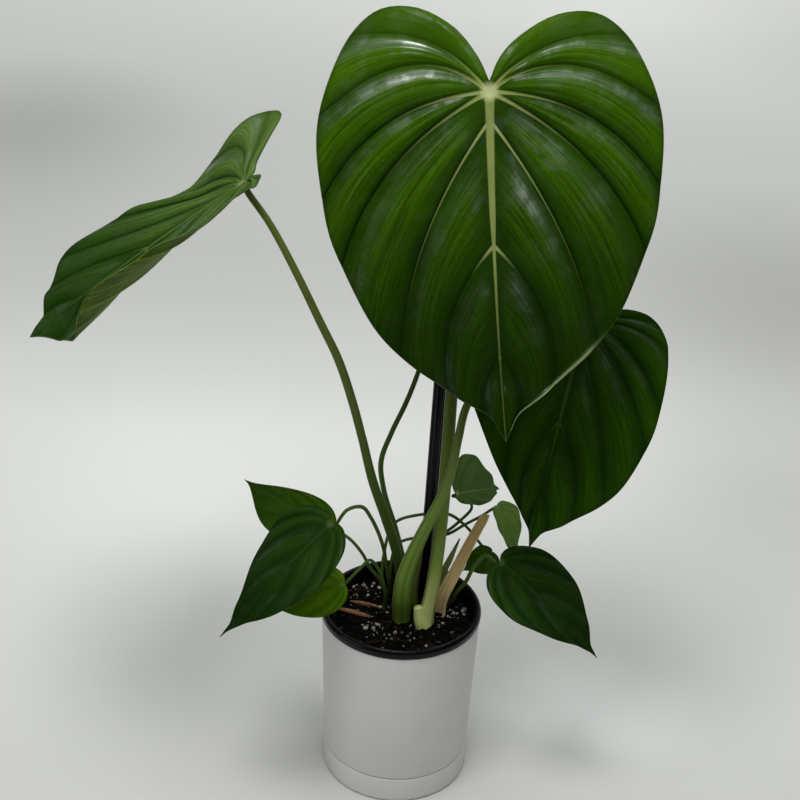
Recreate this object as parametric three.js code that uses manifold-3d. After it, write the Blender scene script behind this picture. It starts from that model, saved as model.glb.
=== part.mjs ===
// A potted philodendron: heart-shaped ribbed leaves on long petioles, rooted in a black growing pot
// that stands in a plain white outer pot with a base tray.
// Millimetres, +Z up, the origin at the centre of the tray's flat foot, and -Y is the front.

import * as THREE from 'three';
import { mergeGeometries, mergeVertices } from 'three/addons/utils/BufferGeometryUtils.js';
import Module from 'manifold-3d';

const GAP = 0.3;
const WELD_TOLERANCE = 1e-4;

// Outer pot and its tray
const POT_SIDES = 36;
const TRAY_TOP = 21.4;
const TRAY_RADIUS = 55.8;
const TRAY_FOOT_RADIUS = 53.4;
const TRAY_BORE = 53.4;
const TRAY_FLOOR = 3;
const BODY_TOP = 137;
const BODY_TOP_RADIUS = 59.3;
const BODY_WALL = 2.4;
const SPIGOT_FOOT = 6;
const SPIGOT_RADIUS = TRAY_BORE - GAP;

// Growing pot
const NURSERY_FLOOR_BOTTOM = 12.3;
const NURSERY_FLOOR_TOP = 14.2;
const NURSERY_FOOT_RADIUS = 44.2;
const NURSERY_MOUTH_RADIUS = 54.8;
const NURSERY_WALL = 1.4;
const RIM_RADIUS = 60.2;
const RIM_TOP = 144.2;
const DRAIN_COUNT = 6;
const DRAIN_RADIUS = 4;
const DRAIN_CIRCLE = 28;

// Soil
const SOIL_TOP = 132;
const SOIL_EDGE_GAP = 0.35;
const SOIL_RELIEF = 1.1;
const SOIL_RINGS = 5;
const STEM_DEPTH = 12;
const HOLE_CLEARANCE = 0.35;
const GRAIN_COUNT = 34;
const GRAIN_SEED = 20481;
const GRAIN_LEAST = 1.7;
const GRAIN_SPREAD = 1.5;
const GRAIN_PROUD = 0.25;
const BARK_TILT = 4;
const BARK = [
  { at: [-38, -6], turn: -10, size: [25, 3.2, 2.4] },
  { at: [-36, -20], turn: -14, size: [30, 4.5, 2.2] },
  { at: [-20, -34], turn: 25, size: [15, 4, 2.4] },
  { at: [24, -36], turn: -35, size: [13, 5, 2.6] },
  { at: [38, 24], turn: 60, size: [17, 4, 2.4] },
];

// Support stake
const STAKE_FOOT = [16.7, 26.7, 100];
const STAKE_TOP = [21.5, 30.6, 352];
const STAKE_RADIUS = 5.3;
const STAKE_FLUTES = 9;
const STAKE_FLUTE_DEPTH = 0.8;
const STAKE_HOLE_SIDES = 18;

// Leaf blades. An outline is half a blade as it lies flat, from the tip to the notch:
// [out from the midrib, from the sinus towards the tip], in shares of the midrib's length.
const HEART_OUTLINE = [
  [0, 1], [0.014, 0.968], [0.04, 0.925], [0.085, 0.89], [0.135, 0.855], [0.245, 0.765],
  [0.35, 0.645], [0.43, 0.47], [0.478, 0.29], [0.487, 0.12], [0.462, -0.03], [0.4, -0.15],
  [0.31, -0.222], [0.2, -0.222], [0.1, -0.17], [0.035, -0.1], [0, -0.03],
];
const HEART_HALF_WIDTH = 0.487;
const OVATE_OUTLINE = [
  [0, 1], [0.01, 0.95], [0.028, 0.9], [0.07, 0.835], [0.13, 0.75], [0.21, 0.62], [0.27, 0.47],
  [0.3, 0.32], [0.285, 0.17], [0.23, 0.06], [0.17, 0], [0.1, -0.035], [0.04, -0.03], [0, 0],
];
// Veins from the tip to the notch: where each leaves the midrib (share from the sinus), where it
// meets the margin (share of the outline from the tip), and how far below the lateral it sets out.
const HEART_VEINS = {
  start: [1, 0.75, 0.435, 0.08, 0, 0, 0, 0, 0],
  end: [0, 0.055, 0.117, 0.206, 0.373, 0.479, 0.607, 0.73, 1],
  angle: [60, 55, 46, 54, 27, 2, -38, -50, -90],
};
const OVATE_VEINS = {
  start: [1, 0.62, 0.28, 0, 0, 0, 0],
  end: [0, 0.1, 0.22, 0.42, 0.6, 0.78, 1],
  angle: [60, 50, 48, 35, 2, -40, -90],
};
const VEIN_ARCH = 0.7;
const BLADE_THICKNESS = 0.8;
const KEEL_ROW = 0.035;
const KEEL_START = 0.04;
const PANEL_ARCH = 3.4;
const MARGIN_RELIEF = 0.15;
const WAVES_PER_PANEL = 0.7;
const RELIEF_START = 0.16;
const RELIEF_END_PANELS = 0.8;
const TWIST_CENTRE = 0.4;
const LOBE_RISE = { from: 0.18, over: 0.4 };
const LOBE_BLEND = 0.1;
const LOWEST_SHARE = -0.3;
const FULLNESS_CENTRE = 0.3;

const PLAIN_HALF = {
  width: 1, full: 0, slim: 0, fold: 6, rise: 0, cup: -6, curl: 0, lobe: 20, back: 1, point: 0,
};

// Each blade: its sinus, tip and the way it faces. bend is the droop of the midrib in degrees, sway
// its sideways curve and twist its turn about itself. Each half has a width, a fullness or slimness
// towards the tip, a fold at the midrib, an extra rise of its lobe, a cup, a curl that grows towards
// the tip, the lobe's own droop, how far the lobe reaches back, and how pointed it is.
const BLADES = {
  front: {
    shape: 'heart', sinus: [39.8, 3, 540.1], tip: [61.7, -85.8, 335.9], face: [-0.05, -0.93, 0.35],
    bend: 10, sway: 3.8, twist: 0, ridge: 2.4, wave: 2, keel: 1.8, columns: 3, rows: 7,
    left: { width: 1.04, fold: -4, cup: -8, lobe: 41, back: 1.17 },
    right: { width: 1.02, fold: -4, cup: -8, lobe: 28, back: 1.01 },
  },
  right: {
    shape: 'heart', sinus: [117.4, 12, 377.4], tip: [86.3, -49.8, 231.2], face: [-0.05, -0.93, 0.35],
    bend: 16, sway: 4, twist: 0, ridge: 1.7, wave: 1.5, keel: 1.4, columns: 3, rows: 6,
    left: { width: 0.99, slim: 0.9, fold: 2, cup: -6, lobe: 45 },
    right: { width: 0.845, full: 0.32, fold: 2, cup: -6, lobe: 55, back: 0.46 },
  },
  left: {
    shape: 'heart', sinus: [-118.4, 10, 468.3], tip: [-252, -47.7, 376.9], face: [-0.48, -0.06, 0.84],
    bend: 6, sway: 0, twist: -26, ridge: 1.9, wave: 1.5, keel: 1.4, columns: 3, rows: 6,
    left: { width: 1.04, full: 0.6, fold: 0, rise: 33, cup: 0, lobe: 10, back: 1.09, point: 1.5 },
    right: { width: 1.2, full: 2.2, fold: -1.3, rise: -6, cup: 14, curl: 32, lobe: 24, back: 0.3 },
  },
  back: {
    shape: 'ovate', sinus: [22.1, 75, 361.2], tip: [-38.3, 30, 375.6], face: [-0.25, -0.62, 0.74],
    bend: 14, sway: 0, twist: 0, ridge: 1.2, wave: 0.8, keel: 0.9, columns: 2, rows: 4,
    left: { width: 1.1 },
    right: { width: 1.3, full: 0.8 },
  },
  small_1: {
    shape: 'ovate', sinus: [-52.3, -40, 237.7], tip: [-126.2, -80, 165.6], face: [-0.45, -0.6, 0.64],
    bend: 11, sway: 0, twist: 0, ridge: 1.1, wave: 0.8, keel: 0.7, columns: 2, rows: 4,
    left: { width: 0.9, full: -0.66 },
    right: { width: 0.95 },
  },
  small_2: {
    shape: 'ovate', sinus: [-54.6, -15.5, 219.8], tip: [-116.2, -12, 254.2], face: [-0.17, -0.68, 0.66],
    bend: 12, sway: 0, twist: 0, ridge: 0.9, wave: 0.6, keel: 0.6, columns: 2, rows: 4,
    left: { width: 0.66, full: -0.45, back: 1.1 },
    right: { width: 1.04, full: 0.91, slim: -0.45 },
  },
  small_3: {
    shape: 'ovate', sinus: [-43.2, -26, 177.6], tip: [-101.1, -36, 162.1], face: [-0.2, -0.7, 0.7],
    bend: 14, sway: 0, twist: 0, ridge: 0.7, wave: 0.5, keel: 0.5, columns: 2, rows: 4,
    left: {},
    right: { width: 1.1, full: 0.11 },
  },
  small_4: {
    shape: 'ovate', sinus: [70.1, -22, 200.3], tip: [143, -50, 139.8], face: [0.35, -0.6, 0.62],
    bend: 15, sway: 0, twist: 0, ridge: 1.1, wave: 0.8, keel: 0.7, columns: 2, rows: 4,
    left: { width: 0.96, full: -0.44 },
    right: { width: 1.05, full: 0.27 },
  },
  small_5: {
    shape: 'ovate', sinus: [37.9, 42.9, 216.2], tip: [72.7, 88, 195.1], face: [0.14, -0.59, 0.55],
    bend: 29, sway: 0, twist: 0, ridge: 0.7, wave: 0.9, keel: 0.5, columns: 2, rows: 4,
    left: { width: 0.62, full: 0.42 },
    right: { width: 1.58, full: 0.43 },
  },
  small_6: {
    shape: 'ovate', sinus: [68.1, 33, 212.6], tip: [83, 18, 175.9], face: [0.47, -0.26, 0.45],
    bend: 23, sway: 0, twist: 0, ridge: 0.6, wave: 0.4, keel: 0.4, columns: 2, rows: 4,
    left: { width: 0.75 },
    right: { width: 1.62, full: -0.17, back: 1.6 },
  },
  small_7: {
    shape: 'ovate', sinus: [66.5, 25, 177.6], tip: [43.7, 0, 176.1], face: [0.21, -0.51, 0.79],
    bend: 14, sway: 0, twist: 0, ridge: 0.6, wave: 0.4, keel: 0.4, columns: 2, rows: 4,
    left: { width: 0.9 },
    right: { width: 1.5 },
  },
};

// Petioles: each route point is [x, y, z, radius], from just above the soil to below the blade.
const PETIOLES = {
  front: {
    sides: 10, flat: 1,
    route: [
      [18.4, -5, 132, 6.8], [19, -4.6, 139, 6.2], [21, -4, 152, 5.2], [24.5, -2.7, 190, 4.9],
      [26.5, 1, 232, 4.8], [27.5, 5, 276, 4.6], [28, 9.5, 322, 4.4], [28.5, 13, 375, 4.2],
      [31, 16, 433, 3.9], [35, 17, 486, 3.5],
    ],
  },
  right: {
    sides: 12, flat: 0.78, groove: 0.2,
    route: [
      [0.6, -2, 132, 6.8], [0, -6, 152, 7], [1, -8, 171, 6.5], [5, -9, 190, 5.6], [14, -11, 218, 4.7],
      [24, -13, 245, 4], [30.5, -13, 270, 3.4], [34, -8, 292, 3], [39.5, 4, 314, 2.8],
      [56, 20, 332, 2.8], [82, 32, 349, 2.8],
    ],
  },
  left: {
    sides: 8, flat: 1,
    route: [
      [1.3, 22, 132, 4.4], [-1, 20, 152, 4], [-6, 18.5, 180, 3.7], [-14, 16.5, 207, 3.6],
      [-25.5, 14, 243, 3.4], [-33.5, 12, 277, 3.1], [-42, 9, 311, 3.1], [-52, 5, 344, 3],
      [-65, 0, 375, 2.8], [-79, -3, 407, 2.6], [-92, -1, 432, 2.4], [-101, 1, 447, 2.3],
    ],
  },
  back: {
    sides: 6, flat: 1,
    route: [
      [2.4, 41, 132, 2.6], [0, 40, 155, 2.3], [-6.5, 42, 182, 2.1], [-17, 44, 216, 2], [-20, 46, 240, 2],
      [-13, 50, 263, 1.9], [-4, 55, 284, 1.9], [3, 61, 303, 1.8], [9, 69, 323, 1.7],
      [15, 75, 338, 1.6],
    ],
  },
  small_1: {
    sides: 5, flat: 1,
    route: [
      [-8.9, 31, 132, 1.9], [-10, 16, 154, 1.5], [-12, 12, 167, 1.5], [-16, 2, 195, 1.4],
      [-25, -14, 228, 1.4],
      [-32, -24, 243, 1.4], [-42, -33, 245, 1.3],
    ],
  },
  small_2: {
    sides: 5, flat: 1,
    route: [
      [-11, 20.5, 132, 1.7], [-12, 10, 147, 1.4], [-17, 6, 161, 1.3], [-24, 2, 173, 1.3],
      [-31, -4, 191, 1.2],
      [-41, -8, 206, 1.2],
    ],
  },
  small_3: {
    sides: 5, flat: 1,
    route: [
      [-12.5, 9, 132, 1.5], [-13, 0, 156, 1.2], [-18, -6, 178, 1.2], [-25, -12, 190, 1.2],
      [-31, -18, 187, 1.1],
    ],
  },
  small_4: {
    sides: 5, flat: 1,
    route: [
      [34.5, 16, 132, 1.9], [41, 8, 151, 1.6], [47, 2, 165, 1.5], [53, -6, 187, 1.5],
      [60, -13, 199, 1.4],
    ],
  },
  small_5: {
    sides: 5, flat: 1,
    route: [
      [-3.9, 45.7, 132, 1.5], [1, 47.5, 156, 1.2], [13, 49, 163, 1.2], [30.5, 51, 175.5, 1.2],
      [42, 53, 186, 1.2], [50.5, 55, 197, 1.1], [47, 53, 206, 1.1],
    ],
  },
  small_6: {
    sides: 5, flat: 1,
    route: [
      [-10, 48, 132, 1.5], [-5, 56, 160, 1.2], [9, 59, 165, 1.2], [22, 58, 167, 1.2], [34, 53, 174, 1.2],
      [46, 47, 187, 1.1], [58, 43, 198, 1.1],
    ],
  },
  small_7: {
    sides: 5, flat: 1,
    route: [
      [-16, 41, 132, 1.5], [-15, 47, 156, 1.2], [-8, 52, 182, 1.2], [12, 55, 189, 1.2],
      [33, 51, 193, 1.2],
      [46, 42, 189, 1.1], [58, 33, 179, 1.1],
    ],
  },
};
const FOOT_STUB = {
  sides: 8, flat: 1,
  route: [[15.5, -6, 126, 4], [14, -6.6, 136, 3.9], [12.6, -7, 145, 3.5]],
};
const SEAT_REACH = 9;
const SEAT_GAP = 0.65;
const STEPS_PER_SPAN = 2;
const GROOVE_END = 1.6;

// Scale leaves at the crown
const CATAPHYLLS = {
  tan: {
    sides: 8, flat: 0.62,
    route: [
      [28.4, 4, 132, 4.3], [30, 4, 148, 4.1], [37, 4.5, 167, 3.9], [48, 6, 196, 3.3], [57, 8, 217, 2.9],
      [60, 8.5, 223, 1.8],
    ],
  },
  green: {
    sides: 6, flat: 0.7,
    route: [[28, 17, 132, 3], [29, 15, 159, 2.9], [35, 14.5, 177, 2.3], [41, 14.5, 195, 0.5]],
  },
};

const COLORS = {
  white_pot: 0xd9d9d7, black_pot: 0x17191a, soil: 0x2f2820, stake: 0x121819,
  blade_dark: 0x1d3a10, blade: 0x2d5416, blade_light: 0x3f6a22, petiole: 0x4a6426, petiole_thin: 0x55703a,
  tan: 0xa8965a, scale_green: 0x6b8436,
};

const manifold = await Module();
manifold.setup();

const radians = THREE.MathUtils.degToRad;
const clamp = THREE.MathUtils.clamp;
const smooth = (value) => THREE.MathUtils.smoothstep(value, 0, 1);

// Closed meshes

// Keeps the named attributes, welds the shared corners and drops the triangles that closed up.
function weld(geometry, keep = ['position']) {
  const bare = geometry.clone();
  for (const name of Object.keys(bare.attributes)) {
    if (!keep.includes(name)) bare.deleteAttribute(name);
  }
  const welded = mergeVertices(bare, WELD_TOLERANCE);
  const corners = welded.index.array;
  const kept = [];
  for (let i = 0; i < corners.length; i += 3) {
    const [a, b, c] = corners.slice(i, i + 3);
    if (a !== b && b !== c && c !== a) kept.push(a, b, c);
  }
  welded.setIndex(kept);
  return welded;
}

function toSolid(geometry) {
  const welded = weld(geometry);
  return new manifold.Manifold(new manifold.Mesh({
    numProp: 3,
    vertProperties: new Float32Array(welded.attributes.position.array),
    triVerts: new Uint32Array(welded.index.array),
  }));
}

function fromSolid(solid) {
  const mesh = solid.getMesh();
  const geometry = new THREE.BufferGeometry();
  geometry.setAttribute('position', new THREE.BufferAttribute(new Float32Array(mesh.vertProperties), 3));
  geometry.setIndex([...mesh.triVerts]);
  return geometry;
}

// A turned solid about Z: the profile runs [radius, height] up the outside and back to the axis.
function turned(profile, sides = POT_SIDES) {
  const points = profile.map(([radius, height]) => new THREE.Vector2(radius, height));
  return weld(new THREE.LatheGeometry(points, sides).rotateX(Math.PI / 2));
}

// Gives an open surface a thickness, with its keel on the back, and closes it round its edge.
// The triangles are alike on both faces, so a waved sheet never crosses itself.
function thicken(surface, thickness) {
  surface.computeVertexNormals();
  const place = surface.attributes.position;
  const normal = surface.attributes.normal;
  const count = place.count;
  const front = [];
  const back = [];
  for (let i = 0; i < count; i += 1) {
    const point = new THREE.Vector3().fromBufferAttribute(place, i);
    const out = new THREE.Vector3().fromBufferAttribute(normal, i);
    front.push(...point.clone().addScaledVector(out, thickness / 2));
    back.push(...point.clone().addScaledVector(out, -thickness / 2 - surface.attributes.keel.getX(i)));
  }
  const faces = [];
  const border = new Map();
  const index = surface.index.array;
  for (let i = 0; i < index.length; i += 3) {
    const corner = [index[i], index[i + 1], index[i + 2]];
    faces.push(...corner, corner[2] + count, corner[1] + count, corner[0] + count);
    for (let k = 0; k < 3; k += 1) {
      const from = corner[k];
      const to = corner[(k + 1) % 3];
      if (!border.delete(`${to}_${from}`)) border.set(`${from}_${to}`, [from, to]);
    }
  }
  for (const [from, to] of border.values()) {
    faces.push(to, from, from + count, to, from + count, to + count);
  }
  const closed = new THREE.BufferGeometry();
  closed.setAttribute('position', new THREE.Float32BufferAttribute([...front, ...back], 3));
  closed.setIndex(faces);
  return closed;
}

// Leaf blades

function interpolate(list, at) {
  const low = Math.min(Math.floor(at), list.length - 2);
  return THREE.MathUtils.lerp(list[low], list[low + 1], at - low);
}

const outlineCurve = (points) => new THREE.SplineCurve(points.map(([x, y]) => new THREE.Vector2(x, y)));
const SHAPES = {
  heart: { outline: outlineCurve(HEART_OUTLINE), veins: HEART_VEINS },
  ovate: { outline: outlineCurve(OVATE_OUTLINE), veins: OVATE_VEINS },
};

// A point of the flat half blade: vein number s (0 at the tip) and share r from midrib to margin.
function flatPoint(shape, s, r) {
  const { outline, veins } = shape;
  const start = new THREE.Vector2(0, interpolate(veins.start, s));
  const end = outline.getPointAt(clamp(interpolate(veins.end, s), 0, 1));
  const reach = VEIN_ARCH * start.distanceTo(end);
  const angle = radians(interpolate(veins.angle, s));
  const middle = new THREE.Vector2(Math.cos(angle), Math.sin(angle)).multiplyScalar(reach).add(start);
  return new THREE.QuadraticBezierCurve(start, middle, end).getPoint(r);
}

function arcChordRatio(degrees) {
  const half = radians(degrees) / 2;
  return Math.abs(half) < 1e-6 ? 1 : half / Math.sin(half);
}

// The frame of a blade: b out to its right half, c from sinus to tip, n out of its face.
function bladeFrame(blade) {
  const sinus = new THREE.Vector3(...blade.sinus);
  const chord = new THREE.Vector3(...blade.tip).sub(sinus);
  const c = chord.clone().normalize();
  const n = new THREE.Vector3(...blade.face);
  n.addScaledVector(c, -n.dot(c)).normalize();
  const length = chord.length() * arcChordRatio(blade.bend) * arcChordRatio(blade.sway);
  return { sinus, b: new THREE.Vector3().crossVectors(n, c), c, n, length };
}

// Panels puff up between the veins, and the margin waves. All of it dies out where the panels
// narrow to nothing: at the midrib, at the tip and in the notch.
function relief(blade, s, r) {
  const puff = Math.sin(Math.PI * (s - Math.floor(s))) ** 2;
  const across = (PANEL_ARCH * r * (1 - r) + MARGIN_RELIEF * r) * smooth(r / RELIEF_START);
  const ripple = Math.sin(2 * Math.PI * WAVES_PER_PANEL * s + 1);
  const last = SHAPES[blade.shape].veins.start.length - 1;
  const inside = smooth(s / RELIEF_END_PANELS) * smooth((last - s) / RELIEF_END_PANELS);
  return (blade.ridge * puff * across + blade.wave * ripple * r ** 4) * inside;
}

function bladePoint(blade, frame, side, s, r) {
  const halves = [{ ...PLAIN_HALF, ...blade.left }, { ...PLAIN_HALF, ...blade.right }];
  const half = side < 0 ? halves[0] : halves[1];
  const { length } = frame;
  const flat = flatPoint(SHAPES[blade.shape], s, r);
  const own = smooth(flat.x / LOBE_BLEND);
  const back = THREE.MathUtils.lerp((halves[0].back + halves[1].back) / 2, half.back, own);
  const lobe = THREE.MathUtils.lerp((halves[0].lobe + halves[1].lobe) / 2, half.lobe, own);
  const reach = back * (1 + half.point * own * (flat.x / HEART_HALF_WIDTH - 0.5));
  const along = (flat.y < 0 ? flat.y * reach : flat.y) * length;
  const t = clamp(along / length, LOWEST_SHARE, 1);
  const past = Math.max(t, 0) - FULLNESS_CENTRE;
  const fullness = 1 + half.full * past - half.slim * Math.max(past, 0);
  const out = flat.x * length * half.width * fullness;

  // Across: an arc that leaves the midrib at the fold's slope
  const lift = half.rise * smooth((LOBE_RISE.from - t) / LOBE_RISE.over);
  const slope = radians(half.fold + side * blade.twist * (t - TWIST_CENTRE) + lift);
  const turn = radians(half.cup + half.curl * Math.max(t, 0)) / (0.5 * length);
  const curvature = Math.abs(turn) < 1e-7 ? 1e-7 : turn;
  const end = slope + curvature * out;
  const raised = relief(blade, s, r);
  const x = side * ((Math.sin(end) - Math.sin(slope)) / curvature - raised * Math.sin(end));
  const z = -(Math.cos(end) - Math.cos(slope)) / curvature + raised * Math.cos(end);

  // Along: the midrib's sideways sway, then its droop
  const swayTurn = radians(blade.sway) / length;
  const swayAngle = swayTurn * Math.max(along, 0);
  const swayed = Math.abs(swayTurn) < 1e-9
    ? new THREE.Vector2(x, along)
    : new THREE.Vector2(
      (1 - Math.cos(swayAngle)) / swayTurn + x * Math.cos(swayAngle),
      Math.sin(swayAngle) / swayTurn + Math.min(along, 0) - x * Math.sin(swayAngle),
    ).rotateAround(new THREE.Vector2(), radians(blade.sway) / 2);
  const bendTurn = radians(swayed.y >= 0 ? blade.bend : lobe) / length;
  const droop = Math.abs(bendTurn) < 1e-9 ? 1e-9 : bendTurn;
  const angle = droop * swayed.y;
  const drooped = new THREE.Vector2(
    Math.sin(angle) / droop + Math.sin(angle) * z,
    -(1 - Math.cos(angle)) / droop + Math.cos(angle) * z,
  ).rotateAround(new THREE.Vector2(), radians(blade.bend) / 2);
  return frame.sinus.clone()
    .addScaledVector(frame.b, swayed.x)
    .addScaledVector(frame.c, drooped.x)
    .addScaledVector(frame.n, drooped.y);
}

// Half a blade is a plane whose columns follow the veins and whose rows run from midrib to margin.
function halfBlade(blade, frame, side) {
  const panels = SHAPES[blade.shape].veins.start.length - 1;
  const columns = panels * blade.columns;
  const plane = new THREE.PlaneGeometry(1, 1, columns, blade.rows);
  const place = plane.attributes.position;
  const keel = [];
  for (let i = 0; i < place.count; i += 1) {
    const s = (place.getX(i) + 0.5) * panels;
    const row = Math.round((place.getY(i) + 0.5) * blade.rows);
    const r = row < 2 ? row * KEEL_ROW : KEEL_ROW + ((row - 1) / (blade.rows - 1)) * (1 - KEEL_ROW);
    const share = interpolate(SHAPES[blade.shape].veins.start, s);
    place.setXYZ(i, ...bladePoint(blade, frame, side, s, r));
    const depth = blade.keel * smooth((share - KEEL_START) / LOBE_BLEND) * (1 - share) ** 0.5;
    keel.push(row === 0 ? depth : 0);
  }
  plane.setAttribute('keel', new THREE.Float32BufferAttribute(keel, 1));
  if (side > 0) {
    const corners = plane.index.array;
    for (let i = 0; i < corners.length; i += 3) {
      [corners[i], corners[i + 1]] = [corners[i + 1], corners[i]];
    }
  }
  return plane;
}

function bladeGeometry(blade) {
  const frame = bladeFrame(blade);
  const halves = mergeGeometries([halfBlade(blade, frame, -1), halfBlade(blade, frame, 1)]);
  return thicken(weld(halves, ['position', 'keel']), BLADE_THICKNESS);
}

// Stems

// A capped cylinder whose rings are drawn out along a route of [x, y, z, radius] points. Its
// section is flattened front to back, and a groove can open its front.
function drawnStem(stem, grow = 0) {
  const stations = stem.route.map(([x, y, z]) => new THREE.Vector3(x, y, z));
  const curve = new THREE.CatmullRomCurve3(stations, false, 'centripetal');
  const radii = stem.route.map((point) => point[3]);
  const steps = (stem.route.length - 1) * STEPS_PER_SPAN;
  const frames = [];
  const across = new THREE.Vector3(1, 0, 0);
  for (let i = 0; i <= steps; i += 1) {
    const tangent = curve.getTangent(i / steps);
    across.addScaledVector(tangent, -across.dot(tangent)).normalize();
    const centre = curve.getPoint(i / steps);
    if (i === 0) centre.addScaledVector(tangent, -grow);
    const front = new THREE.Vector3().crossVectors(across, tangent);
    frames.push({ centre, across: across.clone(), front });
  }
  const cylinder = new THREE.CylinderGeometry(1, 1, 1, stem.sides, steps);
  const place = cylinder.attributes.position;
  for (let i = 0; i < place.count; i += 1) {
    const step = Math.round((place.getY(i) + 0.5) * steps);
    const { centre, across: side, front } = frames[step];
    const radius = interpolate(radii, step / STEPS_PER_SPAN) + grow;
    const opened = (stem.groove ?? 0) * smooth(GROOVE_END - (2 * step) / steps);
    const open = 1 - opened * Math.max(place.getZ(i), 0) ** 8;
    const point = centre.clone()
      .addScaledVector(side, place.getX(i) * radius)
      .addScaledVector(front, place.getZ(i) * radius * stem.flat * open);
    place.setXYZ(i, ...point);
  }
  return weld(cylinder);
}

// The foot of a stem runs straight down into the soil.
function withFoot(stem) {
  const [x, y, z, radius] = stem.route[0];
  return { ...stem, route: [[x, y, z - STEM_DEPTH, radius], ...stem.route] };
}

// The head of a petiole turns in behind the sinus of its blade and stops just short of it.
function withSeat(stem, blade) {
  const frame = bladeFrame(blade);
  const half = radians(blade.bend) / 2;
  const normal = frame.n.clone().multiplyScalar(Math.cos(half)).addScaledVector(frame.c, -Math.sin(half));
  const radius = stem.route.at(-1)[3];
  const reach = SEAT_REACH * Math.min(1, radius / 2);
  const below = frame.sinus.clone().addScaledVector(normal, -reach);
  const seat = frame.sinus.clone().addScaledVector(normal, -BLADE_THICKNESS / 2 - SEAT_GAP);
  return { ...stem, route: [...stem.route, [...below, radius], [...seat, radius]] };
}

const petioleStems = Object.fromEntries(
  Object.entries(PETIOLES).map(([name, stem]) => [name, withFoot(withSeat(stem, BLADES[name]))]),
);
const cataphyllStems = Object.fromEntries(
  Object.entries(CATAPHYLLS).map(([name, stem]) => [name, withFoot(stem)]),
);

function petioleGeometry(name) {
  const petiole = drawnStem(petioleStems[name]);
  if (name !== 'front') return petiole;
  return fromSolid(toSolid(petiole).add(toSolid(drawnStem(FOOT_STUB))));
}

// Holder

function baseTray() {
  return turned([
    [0, 0], [TRAY_FOOT_RADIUS, 0], [TRAY_FOOT_RADIUS + 1.7, 0.7], [TRAY_RADIUS - 0.1, 2.4],
    [TRAY_RADIUS, TRAY_TOP], [TRAY_BORE, TRAY_TOP], [TRAY_BORE, TRAY_FLOOR], [0, TRAY_FLOOR],
  ]);
}

function cachepot() {
  const inner = BODY_TOP_RADIUS - BODY_WALL;
  const spigotInner = SPIGOT_RADIUS - BODY_WALL;
  return turned([
    [0, SPIGOT_FOOT], [SPIGOT_RADIUS - 1, SPIGOT_FOOT], [SPIGOT_RADIUS, SPIGOT_FOOT + 1],
    [SPIGOT_RADIUS, TRAY_TOP + GAP], [TRAY_RADIUS, TRAY_TOP + GAP], [BODY_TOP_RADIUS, BODY_TOP - 0.6],
    [BODY_TOP_RADIUS - 0.6, BODY_TOP], [inner, BODY_TOP], [SPIGOT_RADIUS, TRAY_TOP + 8],
    [spigotInner, TRAY_TOP + 3], [spigotInner, SPIGOT_FOOT + 3], [0, SPIGOT_FOOT + 3],
  ]);
}

function nurseryPot() {
  const bottom = NURSERY_FLOOR_BOTTOM;
  const rimFoot = BODY_TOP + GAP;
  const shell = turned([
    [0, bottom], [NURSERY_FOOT_RADIUS, bottom], [NURSERY_FOOT_RADIUS + NURSERY_WALL, bottom + 1.4],
    [NURSERY_MOUTH_RADIUS + NURSERY_WALL, rimFoot], [RIM_RADIUS - 0.5, rimFoot],
    [RIM_RADIUS, rimFoot + 1], [RIM_RADIUS, RIM_TOP - 2], [RIM_RADIUS - 1.2, RIM_TOP - 0.4],
    [RIM_RADIUS - 2.6, RIM_TOP], [NURSERY_MOUTH_RADIUS + 1.4, RIM_TOP - 0.6],
    [NURSERY_MOUTH_RADIUS + 0.4, RIM_TOP - 2.6], [NURSERY_MOUTH_RADIUS, rimFoot - 1],
    [NURSERY_FOOT_RADIUS, NURSERY_FLOOR_TOP], [0, NURSERY_FLOOR_TOP],
  ]);
  let pot = toSolid(shell);
  for (let i = 0; i < DRAIN_COUNT; i += 1) {
    const angle = (2 * Math.PI * i) / DRAIN_COUNT;
    const drain = new THREE.CylinderGeometry(DRAIN_RADIUS, DRAIN_RADIUS, 10, 10).rotateX(Math.PI / 2);
    drain.translate(DRAIN_CIRCLE * Math.cos(angle), DRAIN_CIRCLE * Math.sin(angle), NURSERY_FLOOR_BOTTOM);
    pot = pot.subtract(toSolid(drain));
  }
  return fromSolid(pot);
}

// Soil

// A seeded random number from 0 to 1
function randomFrom(seed) {
  let state = seed;
  return () => {
    state = (state * 1664525 + 1013904223) % 4294967296;
    return state / 4294967296;
  };
}

function soilHeight(x, y) {
  const rolls = Math.sin(0.16 * x + 1.3) * Math.cos(0.14 * y - 0.6);
  const lumps = Math.sin(0.33 * x - 0.29 * y) * Math.cos(0.21 * x + 0.37 * y);
  return SOIL_TOP + SOIL_RELIEF * (0.7 * rolls + 0.6 * lumps);
}

function soilRadius(z) {
  const share = (z - NURSERY_FLOOR_TOP) / (BODY_TOP + GAP - 1 - NURSERY_FLOOR_TOP);
  return THREE.MathUtils.lerp(NURSERY_FOOT_RADIUS, NURSERY_MOUTH_RADIUS, share) - SOIL_EDGE_GAP;
}

function soilBody() {
  const floor = NURSERY_FLOOR_TOP + GAP;
  const edge = soilRadius(SOIL_TOP + 2);
  const profile = [[0, floor], [soilRadius(floor), floor]];
  for (let ring = SOIL_RINGS; ring >= 0; ring -= 1) profile.push([(edge * ring) / SOIL_RINGS, SOIL_TOP]);
  const body = turned(profile);
  const place = body.attributes.position;
  for (let i = 0; i < place.count; i += 1) {
    if (place.getZ(i) > floor + 1) place.setZ(i, soilHeight(place.getX(i), place.getY(i)));
  }
  return body;
}

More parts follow.
